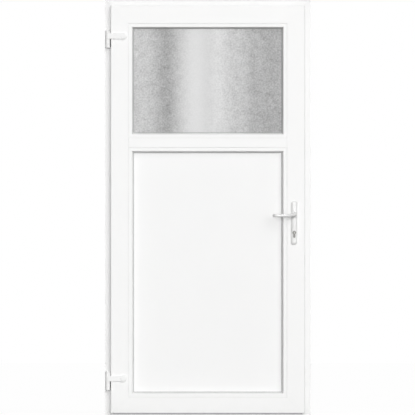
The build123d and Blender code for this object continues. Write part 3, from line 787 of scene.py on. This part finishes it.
def make_materials(scene):
    """Every finish of the door, by name."""
    lines, glazing, hardware = scene.door_lines, scene.door_glazing, scene.door_hardware
    groups = {
        "skin": moulded_skin_group(), "lines": drawn_lines_group(), "dust": foot_dust_group(),
        "band": soft_band_group(), "pebbles": pebble_group(),
    }
    upright, level, even = (900.0, 900.0, 3.0), (3.0, 900.0, 900.0), (40.0, 40.0, 40.0)
    clear, _, _ = plain_material(
        "clear_glass", (0.94, 0.942, 0.942), 0.02, Transmission_Weight=1.0, IOR=1.45
    )
    return {
        "leaf_upright": plastic("white_profile_upright", lines.white, groups, upright),
        # The frame's finishes carry the painted shade of its darker white
        "leaf_level": plastic("white_profile_level", lines.white, groups, level),
        "frame_upright": plastic("white_frame_upright", lines.frame_shaded_white, groups, upright),
        "frame_level": plastic("white_frame_level", lines.frame_shaded_white, groups, level),
        "panel_plastic": plastic("white_panel", lines.panel_white, groups, even),
        "seal_rubber": rubber("grey_seal", lines.seal_grey, groups),
        "break_plastic": rubber("break_plastic", (0.03, 0.03, 0.033), groups),
        "cast_glass": cast_glass(groups, glazing),
        "clear_glass": clear,
        "spacer_metal": brushed("spacer_metal", (0.60, 0.60, 0.61), groups, (500.0, 500.0, 500.0)),
        "threshold_metal": brushed(
            "threshold_metal", hardware.shaded_aluminium, groups, (5.0, 1400.0, 1400.0), 0.5
        ),
        "lock_steel": brushed("lock_steel", hardware.steel, groups, (1200.0, 1200.0, 6.0), 0.30),
        "cylinder_metal": brushed("cylinder_metal", hardware.shaded_nickel, groups, (600.0, 60.0, 600.0), 0.55),
        "hinge_coat": coated("coated_hinge", hardware.hinge_lifted_white, groups),
        "handle_coat": coated("coated_handle", hardware.handle_white, groups, glaze=0.8),
    }


# The finishes by name, made by the first operator that runs
FINISHES = {}


# Depths along Y and widths inward from an edge, in millimetres

FRAME_ROOM = -35.0
FRAME_STOP = 17.0
FRAME_OUTER = 35.0
FRAME_REBATE = 40.0
FRAME_WIDTH = 60.0

LEAF_ROOM = -58.0
LEAF_OUTER = 12.0
LIP_BACK = -40.0
LIP_WIDTH = 24.0
PROFILE_WIDTH = 84.0
FLANGE_WIDTH = 104.0
BEVEL_WIDTH = 6.0
BEVEL_DEPTH = 8.0
# How much of the lip is trimmed off at the leaf's foot
TRIMMED = 9.0
# Rounding of the leaf's outer edge, inside the frame
REBATE_RADIUS = 2.0
# Rounding of an edge that looks sharp
FINE = 0.8

BEAD_ROOM = -57.0
PANE_ROOM = -33.0
PANE_OUTER = -9.0
SEAL_THICKNESS = 3.0
BEAD_BACK = PANE_ROOM - SEAL_THICKNESS
FLANGE_ROOM = PANE_OUTER + SEAL_THICKNESS


def frame_outline_points(lines):
    """The frame's profile, from the wall to the stop that the leaf shuts on."""
    radius = lines.frame_radius / MM
    return rounded([
        (0, FRAME_ROOM, 0), (FRAME_REBATE, FRAME_ROOM, radius), (FRAME_REBATE, FRAME_STOP, 0),
        (FRAME_WIDTH, FRAME_STOP, radius), (FRAME_WIDTH, FRAME_OUTER, radius), (0, FRAME_OUTER, 0),
    ])


def leaf_outline_points(lines, edge=0.0):
    """The leaf's profile, from its lip's edge or, at the foot, from where the lip is trimmed.

    The sides have points at the trimmed width too, so that their flats meet the foot's mitre there.
    """
    joint = lines.joint_radius / MM
    beyond = [
        (PROFILE_WIDTH, LEAF_ROOM, joint), (PROFILE_WIDTH, FLANGE_ROOM, 0),
        (FLANGE_WIDTH, FLANGE_ROOM, 0), (FLANGE_WIDTH, LEAF_OUTER - BEVEL_DEPTH, FINE),
        (FLANGE_WIDTH - BEVEL_WIDTH, LEAF_OUTER, FINE), (LIP_WIDTH, LEAF_OUTER, REBATE_RADIUS),
        (LIP_WIDTH, LIP_BACK, 0),
    ]
    if edge:
        return rounded([(edge, LEAF_ROOM, FINE)] + beyond + [(edge, LIP_BACK, FINE)])
    return rounded([(0, LEAF_ROOM, lines.edge_radius / MM), (TRIMMED, LEAF_ROOM, 0)] + beyond
                   + [(TRIMMED, LIP_BACK, 0), (0, LIP_BACK, joint)])


def bead_outline_points(lines, high):
    """A bead's profile, from the leaf to its inner wall, for the height it stands in from the leaf."""
    joint, top = lines.joint_radius / MM, high - lines.bead_slope / MM
    return rounded([
        (0, BEAD_ROOM, joint), (top, BEAD_ROOM, lines.bead_radius / MM), (high, BEAD_BACK, 0),
        (0, BEAD_BACK, 0),
    ], chords=10)


def seal_outline_points(lines, hidden, back, front):
    """A glazing seal's lip between two depths. It starts behind the bead and shows beyond it."""
    shown, bend, tip = hidden + lines.seal_width / MM, 1.0, 0.5
    turn = FINE * math.copysign(1.0, front - back)
    return rounded([
        (hidden, front, 0), (shown - FINE, front, bend), (shown, back + turn, tip), (shown, back, 0),
        (hidden, back, 0),
    ], chords=5)


# The words in the names of a field's beads, each with the side of the opening that it lies on
BEAD_SIDES = {"top": "top", "bottom": "bottom", "hinge_side": "left", "lock_side": "right"}


def bead_opening(field):
    """The rectangle that a field's beads are set into."""
    return around(*(f"{field}_bead_{word}" for word in BEAD_SIDES))


# Operators


class DoorOperator:
    """What the builders of pieces share."""

    bl_options = {"REGISTER", "UNDO"}

    def execute(self, context):
        if not FINISHES:
            FINISHES.update(make_materials(context.scene))
        self.build(context.scene)
        return {"FINISHED"}


class BuildFrame(DoorOperator, bpy.types.Operator):
    """Welded outer frame of jambs and head, with its stop seal"""

    bl_idname = "door.build_frame"
    bl_label = "Frame"

    def build(self, scene):
        lines = scene.door_lines
        section = frame_outline_points(lines)
        groove = (lines.weld_width, lines.weld_depth)
        whole = around("hinge_jamb", "lock_jamb", "frame_head")
        # The jambs have no mitre at the foot, so their lower corners lie far under the floor's level
        whole.bottom = -whole.right
        for node, side in (("hinge_jamb", "left"), ("lock_jamb", "right"), ("frame_head", "top")):
            run = run_of(side)
            floor, ends = (0.0, (False, True)) if run == "upright" else (-np.inf, (True, True))
            shell = profile_bar(side, whole, section, groove, floor, ends)
            made = piece(f"{node}_profile", shell, FINISHES[f"frame_{run}"], "frame",
                         (node,))
            if run == "upright":
                cut(made, self.holes(side, whole))

        low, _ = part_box("frame_stop_seal")
        start, height, width, slope = low.x / MM, 4.2, 6.0, 1.0
        lip, end = FRAME_STOP - height, start + width
        seal = rounded([(start, lip, FINE), (end - slope, lip, FINE), (end, FRAME_STOP, 0),
                        (start, FRAME_STOP, 0)], chords=4)
        shell = hoop_of_profile(whole, seal, low.z)
        piece("frame_stop_seal_lip", shell, FINISHES["seal_rubber"], "frame",
              ("frame_stop_seal",))

    def holes(self, side, whole):
        """Screw holes through a jamb, and on the lock side the pockets for latch and bolt."""
        past, thick = 1.0 * MM, FRAME_REBATE * MM
        start = -past if side == "left" else whole.right - thick - past
        radius, middle_y, margin, count = 3.75 * MM, -13.0 * MM, 210.0 * MM, 4
        shells = []
        for height in np.linspace(margin, whole.top - margin, count):
            circle = arc((middle_y, height), radius, 0, 2 * math.pi, 24, endpoint=False)
            shells.append(straight_bar(circle, start, start + thick + 2 * past))
        if side == "right":
            play, pocket_depth = 4.0 * MM, 29.0 * MM
            for node in ("latch_bolt", "dead_bolt"):
                low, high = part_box(node)
                pocket = rectangle(low.y - play, high.y + play, low.z - play, high.z + play)
                shells.append(straight_bar(pocket, start, start + pocket_depth))
        return together(*shells)


class BuildLeaf(DoorOperator, bpy.types.Operator):
    """Welded stiles and rails of the leaf, and the transom between glass and panel"""

    bl_idname = "door.build_leaf"
    bl_label = "Leaf"

    def build(self, scene):
        lines = scene.door_lines
        groove = (lines.weld_width, lines.weld_depth)
        leaf = around("leaf_hinge_stile", "leaf_lock_stile", "leaf_top_rail")
        foot = leaf.bottom
        leaf.bottom = foot - TRIMMED * MM
        sides = (("leaf_hinge_stile", "left", 0.0), ("leaf_lock_stile", "right", 0.0),
                 ("leaf_top_rail", "top", 0.0), ("leaf_bottom_rail", "bottom", TRIMMED))
        for node, side, edge in sides:
            run = run_of(side)
            shell = profile_bar(side, leaf, leaf_outline_points(lines, edge), groove,
                                foot if run == "upright" else -np.inf)
            piece(f"{node}_profile", shell, FINISHES[f"leaf_{run}"], "leaf", (node,))

        low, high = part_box("leaf_transom")
        centre, half = (low.z + high.z) / 2 / MM, (high.z - low.z) / 2 / MM
        joint, shown = lines.joint_radius / MM, half - (FLANGE_WIDTH - PROFILE_WIDTH)
        room = rounded([(LEAF_ROOM, centre - shown, joint), (LEAF_ROOM, centre + shown, joint),
                        (FLANGE_ROOM, centre + shown, 0), (FLANGE_ROOM, centre - shown, 0)])
        bevel_y, bevel_half = LEAF_OUTER - BEVEL_DEPTH, half - BEVEL_WIDTH
        outer = rounded([
            (FLANGE_ROOM, centre - half, 0), (FLANGE_ROOM, centre + half, 0),
            (bevel_y, centre + half, FINE), (LEAF_OUTER, centre + bevel_half, FINE),
            (LEAF_OUTER, centre - bevel_half, FINE), (bevel_y, centre - half, FINE),
        ])
        between, beyond = leaf.inset(PROFILE_WIDTH * MM), leaf.inset(FLANGE_WIDTH * MM)
        shell = together(straight_bar(room, between.left, between.right),
                         straight_bar(outer, beyond.left, beyond.right))
        piece("leaf_transom_profile", shell, FINISHES["leaf_level"], "leaf",
              ("leaf_transom",))


class BuildBeads(DoorOperator, bpy.types.Operator):
    """Glazing beads around glass and panel"""

    bl_idname = "door.build_beads"
    bl_label = "Glazing beads"

    def build(self, scene):
        lines = scene.door_lines
        mitre_line = (0.5 * MM, 0.2 * MM)
        for field in ("glass", "panel"):
            low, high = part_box(f"{field}_bead_hinge_side")
            section = bead_outline_points(lines, (high.x - low.x) / MM)
            for word, side in BEAD_SIDES.items():
                node = f"{field}_bead_{word}"
                shell = profile_bar(side, bead_opening(field), section, mitre_line)
                piece(f"{node}_strip", shell, FINISHES[f"leaf_{run_of(side)}"], "leaf",
                      (node,))


class BuildGlazingSeals(DoorOperator, bpy.types.Operator):
    """Lip seals between the beads or the leaf and the glass or panel"""

    bl_idname = "door.build_glazing_seals"
    bl_label = "Glazing seals"

    def build(self, scene):
        lines = scene.door_lines
        for field in ("glass", "panel"):
            opening = bead_opening(field)
            for word, back, front in (("room", PANE_ROOM, BEAD_BACK), ("outer", PANE_OUTER, FLANGE_ROOM)):
                node = f"{field}_seal_{word}"
                hidden = (around(node).left - opening.left) / MM
                section = seal_outline_points(lines, hidden, back, front)
                piece(f"{node}_lip", ring_of_profile(opening, section), FINISHES["seal_rubber"],
                      "leaf", (node,))


class BuildGlass(DoorOperator, bpy.types.Operator):
    """Textured room pane, clear outer pane and the spacer between them"""

    bl_idname = "door.build_glass"
    bl_label = "Glass unit"

    def build(self, scene):
        look = scene.door_glazing
        low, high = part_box("glass_pane_room")
        shell = self.pebbled_pane(low, high, look)
        piece("glass_pane_room_cast", shell, FINISHES["cast_glass"], "leaf",
              ("glass_pane_room",), crease=50.0, level_flats=False)
        dress_node("glass_pane_outer", FINISHES["clear_glass"])
        dress_node("glass_spacer", FINISHES["spacer_metal"])

    def pebbled_pane(self, low, high, look):
        """A pane whose room face rises and falls as a sum of cosine waves in many directions.

        Wave k runs at k times the golden angle with its own length near the pebble's size, so the
        sum never repeats. Its depth stays inside the pane, and it fades out at the hidden edge.
        """
        across = np.linspace(low.x, high.x, int((high.x - low.x) / look.grid) + 1)
        up = np.linspace(low.z, high.z, int((high.z - low.z) / look.grid) + 1)
        x, z = np.meshgrid(across, up, indexing="ij")
        count, golden_angle, lag, fade_width = 9, 2.399963, 1.7, 12.0 * MM
        shortest, growth = 0.85, 0.09
        order = np.arange(count)
        angle = order * golden_angle
        wave = 2 * math.pi / (look.pebble * (shortest + growth * order))
        phase = x[..., None] * np.cos(angle) * wave + z[..., None] * np.sin(angle) * wave + order * lag
        swell = np.cos(phase).sum(axis=-1) / math.sqrt(count)
        edge = np.minimum.reduce([x - low.x, high.x - x, z - low.z, high.z - z])
        fade = np.clip(edge / fade_width, 0, 1)
        depth = look.relief * np.clip(0.5 - 0.25 * swell, 0, 1) * fade
        face = np.stack([x, low.y + depth, z], axis=-1)
        rows, columns = x.shape
        index = np.arange(rows * columns).reshape(rows, columns)
        quads = np.stack([index[:-1, :-1], index[1:, :-1], index[1:, 1:], index[:-1, 1:]], axis=-1)
        rim = np.concatenate([index[:, 0], index[-1, 1:], index[-2::-1, -1], index[0, -2:0:-1]])
        back = face.reshape(-1, 3)[rim].copy()
        back[:, 1] = high.y
        start = rows * columns
        beyond = start + np.arange(len(rim))
        wall = np.stack([rim, np.roll(rim, -1), np.roll(beyond, -1), beyond], axis=-1)
        faces = quads.reshape(-1, 4).tolist() + wall.tolist() + [beyond.tolist()]
        return np.concatenate([face.reshape(-1, 3), back]), faces


class BuildPanel(DoorOperator, bpy.types.Operator):
    """Plain white lower panel"""

    bl_idname = "door.build_panel"
    bl_label = "Lower panel"

    def build(self, scene):
        dress_node("lower_panel", FINISHES["panel_plastic"])


class BuildLeafSeals(DoorOperator, bpy.types.Operator):
    """Seal behind the leaf's lip, sweep under its foot and weather bar outside"""

    bl_idname = "door.build_leaf_seals"
    bl_label = "Leaf seals"

    def build(self, scene):
        leaf = around("leaf_hinge_stile", "leaf_lock_stile", "leaf_top_rail")
        start, end, height, taper, bend = 3.0, 9.0, 4.4, 0.6, 1.6
        leaf.bottom = around("lip_seal").bottom - start * MM
        front = LIP_BACK + height
        lip = rounded([(start, LIP_BACK, 0), (end, LIP_BACK, 0), (end - taper, front, bend),
                       (start + taper, front, bend)], chords=5)
        piece("lip_seal_bulb", ring_of_profile(leaf, lip), FINISHES["seal_rubber"], "leaf",
              ("lip_seal",))
        smoothed_node("foot_sweep", FINISHES["seal_rubber"], 0.8 * MM)
        smoothed_node("weather_bar", FINISHES["leaf_level"], 0.4 * MM)


class BuildThreshold(DoorOperator, bpy.types.Operator):
    """Aluminium threshold with its thermal break"""

    bl_idname = "door.build_threshold"
    bl_label = "Threshold"

    def build(self, scene):
        for node in ("threshold_room_rail", "threshold_outer_rail"):
            smoothed_node(node, FINISHES["threshold_metal"], 0.15 * MM)
        dress_node("threshold_thermal_break", FINISHES["break_plastic"])


# Axis, knuckle and half width of a hinge's frame side, in millimetres
HINGE_X = 12.5
HINGE_Y = -53.0
KNUCKLE_RADIUS = 12.0
SEAT_HALF = 11.5


class BuildHinges(DoorOperator, bpy.types.Operator):
    """Two surface hinges with their pins and screw covers"""

    bl_idname = "door.build_hinges"
    bl_label = "Hinges"

    def build(self, scene):
        steps = scene.door_hardware.turned_steps
        x, y = HINGE_X * MM, HINGE_Y * MM
        knuckle, play, step = KNUCKLE_RADIUS * MM, 0.6 * MM, 0.3 * MM
        cap_radius, cap_height, pin_radius = 9.0 * MM, 3.0 * MM, 5.0 * MM
        cover_radius, cover_height, cap_edge = 13.0 * MM, 2.0 * MM, 1.2 * MM
        for hinge in ("lower_hinge", "upper_hinge"):
            foot, head = (corner.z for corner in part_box(f"{hinge}_frame_side"))
            cover_low, cover_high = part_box(f"{hinge}_screw_cover")
            split = head + play
            leaf_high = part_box(f"{hinge}_pin")[1].z - cap_height - step
            boss_x, boss_z = (cover_low.x + cover_high.x) / 2, (cover_low.z + cover_high.z) / 2

            self.coated_piece(hinge, "seat", self.seat(foot, head), "frame", "frame_side")
            # A black sheet beside the frame's knuckle: painted shade in the gap towards the leaf
            piece(f"{hinge}_pad", self.pad(foot, head), FINISHES["break_plastic"], "frame")

            post = disc((x, y, split), "Z", steps, knuckle, 0.0, leaf_high - split, FINE * MM)
            strap = self.strap(x, boss_x, boss_z)
            self.coated_piece(hinge, "strap", together(post, strap), "leaf", "leaf_side")

            cap = disc((x, y, leaf_high + step), "Z", steps, cap_radius, 0.0, cap_height, cap_edge)
            core = disc((x, y, foot), "Z", steps // 2, pin_radius, 0.0, leaf_high + step - foot)
            self.coated_piece(hinge, "cap", together(core, cap), "frame", "pin")

            cover = disc((boss_x, cover_high.y, boss_z), "Y", steps, cover_radius, -step, cover_height,
                         cap_edge, outward=-1.0)
            self.coated_piece(hinge, "cover", cover, "leaf", "screw_cover")

    def coated_piece(self, hinge, word, shell, body, node):
        """A coated piece of a hinge, which stands for one of its nodes."""
        piece(f"{hinge}_{word}", shell, FINISHES["hinge_coat"], body, (f"{hinge}_{node}",))

    def seat(self, foot, head):
        """The frame's knuckle: an arc round the pin in front, and flat sides that run back to the frame."""
        meet = math.sqrt(KNUCKLE_RADIUS**2 - SEAT_HALF**2)
        sunk, edge, foot_edge = 1.5, 0.6 * MM, 3.0 * MM
        x, y, half, back = HINGE_X * MM, HINGE_Y * MM, SEAT_HALF * MM, (FRAME_ROOM + sunk) * MM
        front = arc((x, y), KNUCKLE_RADIUS * MM, math.atan2(-meet, -SEAT_HALF),
                    math.atan2(-meet, SEAT_HALF), 33)
        outline = np.concatenate([[(x - half, back)], front, [(x + half, back)]])
        return stacked(outline, eased(head - foot, edge, foot_edge),
                       lambda plan, up: np.stack([plan[:, 0], plan[:, 1], np.full(len(plan), foot + up)],
                                                 axis=1))

    def pad(self, foot, head):
        """A thin black sheet that the frame's knuckle sits on, painted shade: it shows beside the knuckle,
        towards the leaf, where the gap lies in shade.
        """
        thickness, reach, raised = 0.5 * MM, 3.4, 3.0 * MM
        outline = rectangle((HINGE_X - SEAT_HALF) * MM, (HINGE_X + SEAT_HALF + reach) * MM, foot + raised,
                            head)
        return upright_plate(outline, [(0.0, 0.0), (0.0, thickness)], FRAME_ROOM * MM)

    def strap(self, x, boss_x, boss_z):
        """A flat strap that ends in a wider round boss, with its front edge eased."""
        half, radius, thickness, edge = 13.5 * MM, 17.0 * MM, 7.0 * MM, 1.3 * MM
        meet = math.asin(half / radius)
        ring = arc((boss_x, boss_z), radius, math.pi + meet, 3 * math.pi - meet, 49)
        outline = np.concatenate([[(x, boss_z - half)], ring, [(x, boss_z + half)]])
        return upright_plate(outline, eased(thickness, edge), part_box("leaf_hinge_stile")[0].y)


class BuildLock(DoorOperator, bpy.types.Operator):
    """Lock faceplate, latch, bolt, strike plate and profile cylinder"""

    bl_idname = "door.build_lock"
    bl_label = "Lock"

    def build(self, scene):
        steel = FINISHES["lock_steel"]
        for node in ("lock_faceplate", "latch_bolt", "dead_bolt", "strike_plate"):
            smoothed_node(node, steel, 0.25 * MM)
        smoothed_node("lock_cylinder", FINISHES["cylinder_metal"], 0.25 * MM)


# Height of the levers' axis and rounding of their plates' corners, in millimetres
LEVER_Z = 955.0
PLATE_CORNER = 11.0


class BuildHandles(DoorOperator, bpy.types.Operator):
    """Lever handles on long plates, inside and outside"""

    bl_idname = "door.build_handles"
    bl_label = "Handles"

    def build(self, scene):
        steps = scene.door_hardware.turned_steps
        coat = FINISHES["handle_coat"]
        low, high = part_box("room_handle_plate")
        room, outer = (corner.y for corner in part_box("leaf_hinge_stile"))
        centre_x, middle_z = (low.x + high.x) / 2, (low.z + high.z) / 2
        half, rise = (high.x - low.x) / 2 / MM, (high.z - low.z) / 2 / MM
        corners = rectangle(-half, half, -rise, rise)
        outline = rounded([(*corner, PLATE_CORNER) for corner in corners], chords=12)
        outline += np.array([centre_x, middle_z])
        for word, surface, out in (("room", room, -1.0), ("outer", outer, 1.0)):
            cover = upright_plate(outline, self.crowned_levels(), surface, out)
            piece(f"{word}_handle_cover", cover, coat, "leaf", (f"{word}_handle_plate",))
            plate_face = surface + out * (high.y - low.y)
            collar = turned(self.collar_profile(), (centre_x, plate_face, LEVER_Z * MM), "Y", steps, out)
            lever = together(collar, self.grip(centre_x, surface, out))
            piece(f"{word}_lever_grip", lever, coat, "handle", (f"{word}_lever",),
                  crease=60.0)
        dress_node("lever_spindle", FINISHES["lock_steel"])

    def crowned_levels(self):
        """Levels of a plate that is eased at its edge and swells a little towards its middle line."""
        rim, edge, swell, reach = 7.4, 2.0, 0.6, 10.4
        far = np.linspace(edge, reach, 8)[1:]
        rise = rim + swell * (1 - ((reach - far) / (reach - edge)) ** 2)
        return eased(rim * MM, edge * MM, chords=6) + [(a * MM, b * MM) for a, b in zip(far, rise)]

    def collar_profile(self):
        """Profile of the collar: a short round foot that sweeps in to the neck."""
        radius, neck, foot_high, high, gap = 13.0, 8.5, 3.0, 15.3, 0.3
        bevel_in, bevel_up, step_in, step_up, curve = 0.6, 0.5, 0.4, 0.6, 1.1
        share = np.linspace(0, 1, 9)
        wide, start = radius - step_in, foot_high + step_up
        sweep = np.stack([wide - (wide - neck) * np.sin(share * math.pi / 2),
                          start + (high - start) * share**curve], axis=1)
        foot = np.array([(0.0, gap), (radius - bevel_in, gap), (radius, gap + bevel_up),
                         (radius, foot_high)])
        return np.concatenate([foot, sweep, [(0.0, high)]]) * MM

    def grip(self, centre_x, surface, out):
        """The lever: a section carried along a line that leaves the plate, bends level and returns.

        The line is a neck, a quarter turn, a straight grip, a quarter turn and a short return. The
        section is a superellipse, nearly round at the neck and squarer along the grip.
        """
        neck_bend, tip_bend, tail_end = 7.0, 9.0, 3.0
        stand_off, reach, return_to = 49.0, 98.0, 32.0
        neck, half_depth, half_height, drop = 8.0, 5.0, 7.0, 3.0
        neck_power, grip_power, blend, tip_share = 2.5, 3.5, 26.0, 0.35
        quarter = math.pi / 2
        bend_y = stand_off - neck_bend
        root, middle = 5.0, 20.0
        hub = np.array([(0.0, root), (0.0, middle), (0.0, bend_y)])
        first = arc((-neck_bend, bend_y), neck_bend, 0, quarter, 13)
        past_neck, before_tip = 6.0, 4.0
        along = np.linspace(-neck_bend - past_neck, -reach + tip_bend + before_tip, 9)
        straight = np.stack([along, np.full(9, stand_off)], axis=1)
        second = arc((tip_bend - reach, stand_off - tip_bend), tip_bend, quarter, math.pi, 13)
        close = np.linspace(0, quarter, 7)[1:]
        tail = np.stack([np.full(6, -reach), return_to + tail_end - tail_end * np.sin(close)], axis=1)
        line = np.concatenate([hub, first[1:], straight, second, tail])
        ahead = np.gradient(line, axis=0)
        ahead /= np.linalg.norm(ahead, axis=1, keepdims=True)
        side = np.stack([-ahead[:, 1], ahead[:, 0]], axis=1)
        share = np.clip(-line[:, 0] / blend, 0, 1)
        share = share * share * (3 - 2 * share)
        shrink = np.ones(len(line))
        shrink[-6:] = tip_share + (1 - tip_share) * np.cos(close)
        depth = (neck + (half_depth - neck) * share) * shrink
        height = (neck + (half_height - neck) * share) * shrink
        power = neck_power + (grip_power - neck_power) * share
        angle = np.linspace(0, 2 * math.pi, 48, endpoint=False)
        cosine, sine = np.cos(angle)[None, :], np.sin(angle)[None, :]
        across = np.sign(cosine) * np.abs(cosine) ** (2 / power[:, None]) * depth[:, None]
        up = np.sign(sine) * np.abs(sine) ** (2 / power[:, None]) * height[:, None]
        x = line[:, :1] + side[:, :1] * across
        away = line[:, 1:] + side[:, 1:] * across
        z = LEVER_Z - drop * share[:, None] + up
        return skin(np.stack([centre_x + x * MM, surface + out * away * MM, z * MM], axis=-1))


# Each lamp's setting, its direction in degrees to the right and up, and its spread in degrees
LAMPS = (
    ("key", (31.0, 22.0), 40.0),
    ("front", (2.0, 4.0), 8.0),
    ("fill", (-14.0, 13.0), 22.0),
    ("top", (4.0, 52.0), 30.0),
    ("back", (200.0, 30.0), 60.0),
)


class BuildStage(DoorOperator, bpy.types.Operator):
    """Camera, floor, lamps and the white surroundings"""

    bl_idname = "door.build_stage"
    bl_label = "Stage"

    def build(self, scene):
        studio = scene.door_studio
        low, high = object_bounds()
        middle_z = (low.z + high.z) / 2
        lens_camera = bpy.data.cameras.new("front_camera")
        lens_camera.sensor_width = 36.0
        lens_camera.clip_start = 1.0
        lens_camera.clip_end = 4.0 * studio.camera_distance
        half_sensor = lens_camera.sensor_width / 2
        lens_camera.lens = half_sensor * studio.camera_distance / (studio.shown_height / 2)
        camera = add_object("front_camera", lens_camera)
        face_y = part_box("leaf_hinge_stile")[0].y
        camera.location = (studio.camera_x, face_y - studio.camera_distance, middle_z)
        camera.rotation_euler = (math.pi / 2, 0.0, 0.0)
        scene.camera = camera

        for name, direction, spread in LAMPS:
            self.lamp(f"{name}_lamp", getattr(studio, f"{name}_strength"), direction, spread)
        self.surroundings(scene, studio.dome_strength)
        self.floor(low.z, studio)
        scene.view_settings.view_transform = "Standard"

    def lamp(self, name, strength, direction, spread):
        """A broad even lamp from a direction given as degrees to the right and degrees up.

        The lamps in the room aren't seen through the panes from outside.
        """
        light = bpy.data.lights.new(name, "SUN")
        light.energy = strength
        light.angle = math.radians(spread)
        made = add_object(name, light)
        right, up = (math.radians(value) for value in direction)
        made.rotation_euler = (math.pi / 2 - up, 0.0, right)
        made.visible_transmission = abs(direction[0]) > 90.0

    def surroundings(self, scene, dome_strength):
        """White where it is seen, mirrored or seen through glass, and a plain soft dome elsewhere."""
        world = bpy.data.worlds.new("surroundings")
        world.use_nodes = True
        work = Tree(world.node_tree)
        extra = work.math("MULTIPLY", work.seen(), 1.0 - dome_strength)
        work.give(work.find("BACKGROUND"), Color=(1.0, 1.0, 1.0, 1.0),
                  Strength=work.math("ADD", extra, dome_strength))
        scene.world = world

    def floor(self, level, studio):
        """A pale floor that shows white to the camera and keeps the door's shadow."""
        material, work, shader = plain_material("pale_floor", studio.floor_grey, 0.8)
        glow = work.give(work.add("ShaderNodeEmission"), Strength=1.0)
        mix = work.add("ShaderNodeMixShader")
        seen = work.seen()
        tinted(work, shader, seen, studio.floor_grey, studio.floor_white)
        work.join(work.math("MULTIPLY", seen, studio.floor_glow), mix.inputs["Fac"])
        work.join(shader.outputs[0], mix.inputs[1])
        work.join(glow.outputs[0], mix.inputs[2])
        work.join(mix.outputs[0], work.find("OUTPUT_MATERIAL").inputs["Surface"])
        reach, under = 25.0, level - 0.5 * MM
        points = np.column_stack([rectangle(-reach, reach, -reach, reach), np.full(4, under)])
        mesh = bpy.data.meshes.new("floor")
        mesh.from_pydata(points.tolist(), [], [[0, 1, 2, 3]])
        dress(mesh, material)
        add_object("floor", mesh)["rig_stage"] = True


class DoorPanel(bpy.types.Panel):
    """Lists the builders and the settings of the side door"""

    bl_idname = "DOOR_PT_builder"
    bl_label = "Side Door"
    bl_space_type = "VIEW_3D"
    bl_region_type = "UI"
    bl_category = "Side Door"

    def draw(self, context):
        layout = self.layout
        for builder in BUILDERS:
            layout.operator(builder.bl_idname)
        for name in ("door_lines", "door_glazing", "door_hardware", "door_studio"):
            box = layout.box()
            group = getattr(context.scene, name)
            for setting in group.__annotations__:
                box.prop(group, setting)


SETTINGS = {
    "door_lines": ProfileLines,
    "door_glazing": GlazingLook,
    "door_hardware": HardwareLook,
    "door_studio": StudioSetup,
}
BUILDERS = (
    BuildStage, BuildFrame, BuildLeaf, BuildBeads, BuildGlazingSeals, BuildGlass, BuildPanel,
    BuildLeafSeals, BuildThreshold, BuildHinges, BuildLock, BuildHandles,
)


def register():
    """Adds the settings, the operators and the panel."""
    for settings in SETTINGS.values():
        bpy.utils.register_class(settings)
    for name, settings in SETTINGS.items():
        setattr(bpy.types.Scene, name, PointerProperty(type=settings))
    for builder in BUILDERS:
        bpy.utils.register_class(builder)
    bpy.utils.register_class(DoorPanel)


def unregister():
    """Takes away what register adds, in the opposite order."""
    bpy.utils.unregister_class(DoorPanel)
    for builder in reversed(BUILDERS):
        bpy.utils.unregister_class(builder)
    for name in SETTINGS:
        delattr(bpy.types.Scene, name)
    for settings in reversed(SETTINGS.values()):
        bpy.utils.unregister_class(settings)


def main():
    """Registers the add-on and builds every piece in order."""
    register()
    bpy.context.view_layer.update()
    bpy.ops.door.build_stage()
    bpy.ops.door.build_frame()
    bpy.ops.door.build_leaf()
    bpy.ops.door.build_beads()
    bpy.ops.door.build_glazing_seals()
    bpy.ops.door.build_glass()
    bpy.ops.door.build_panel()
    bpy.ops.door.build_leaf_seals()
    bpy.ops.door.build_threshold()
    bpy.ops.door.build_hinges()
    bpy.ops.door.build_lock()
    bpy.ops.door.build_handles()


if __name__ == "__main__":
    main()
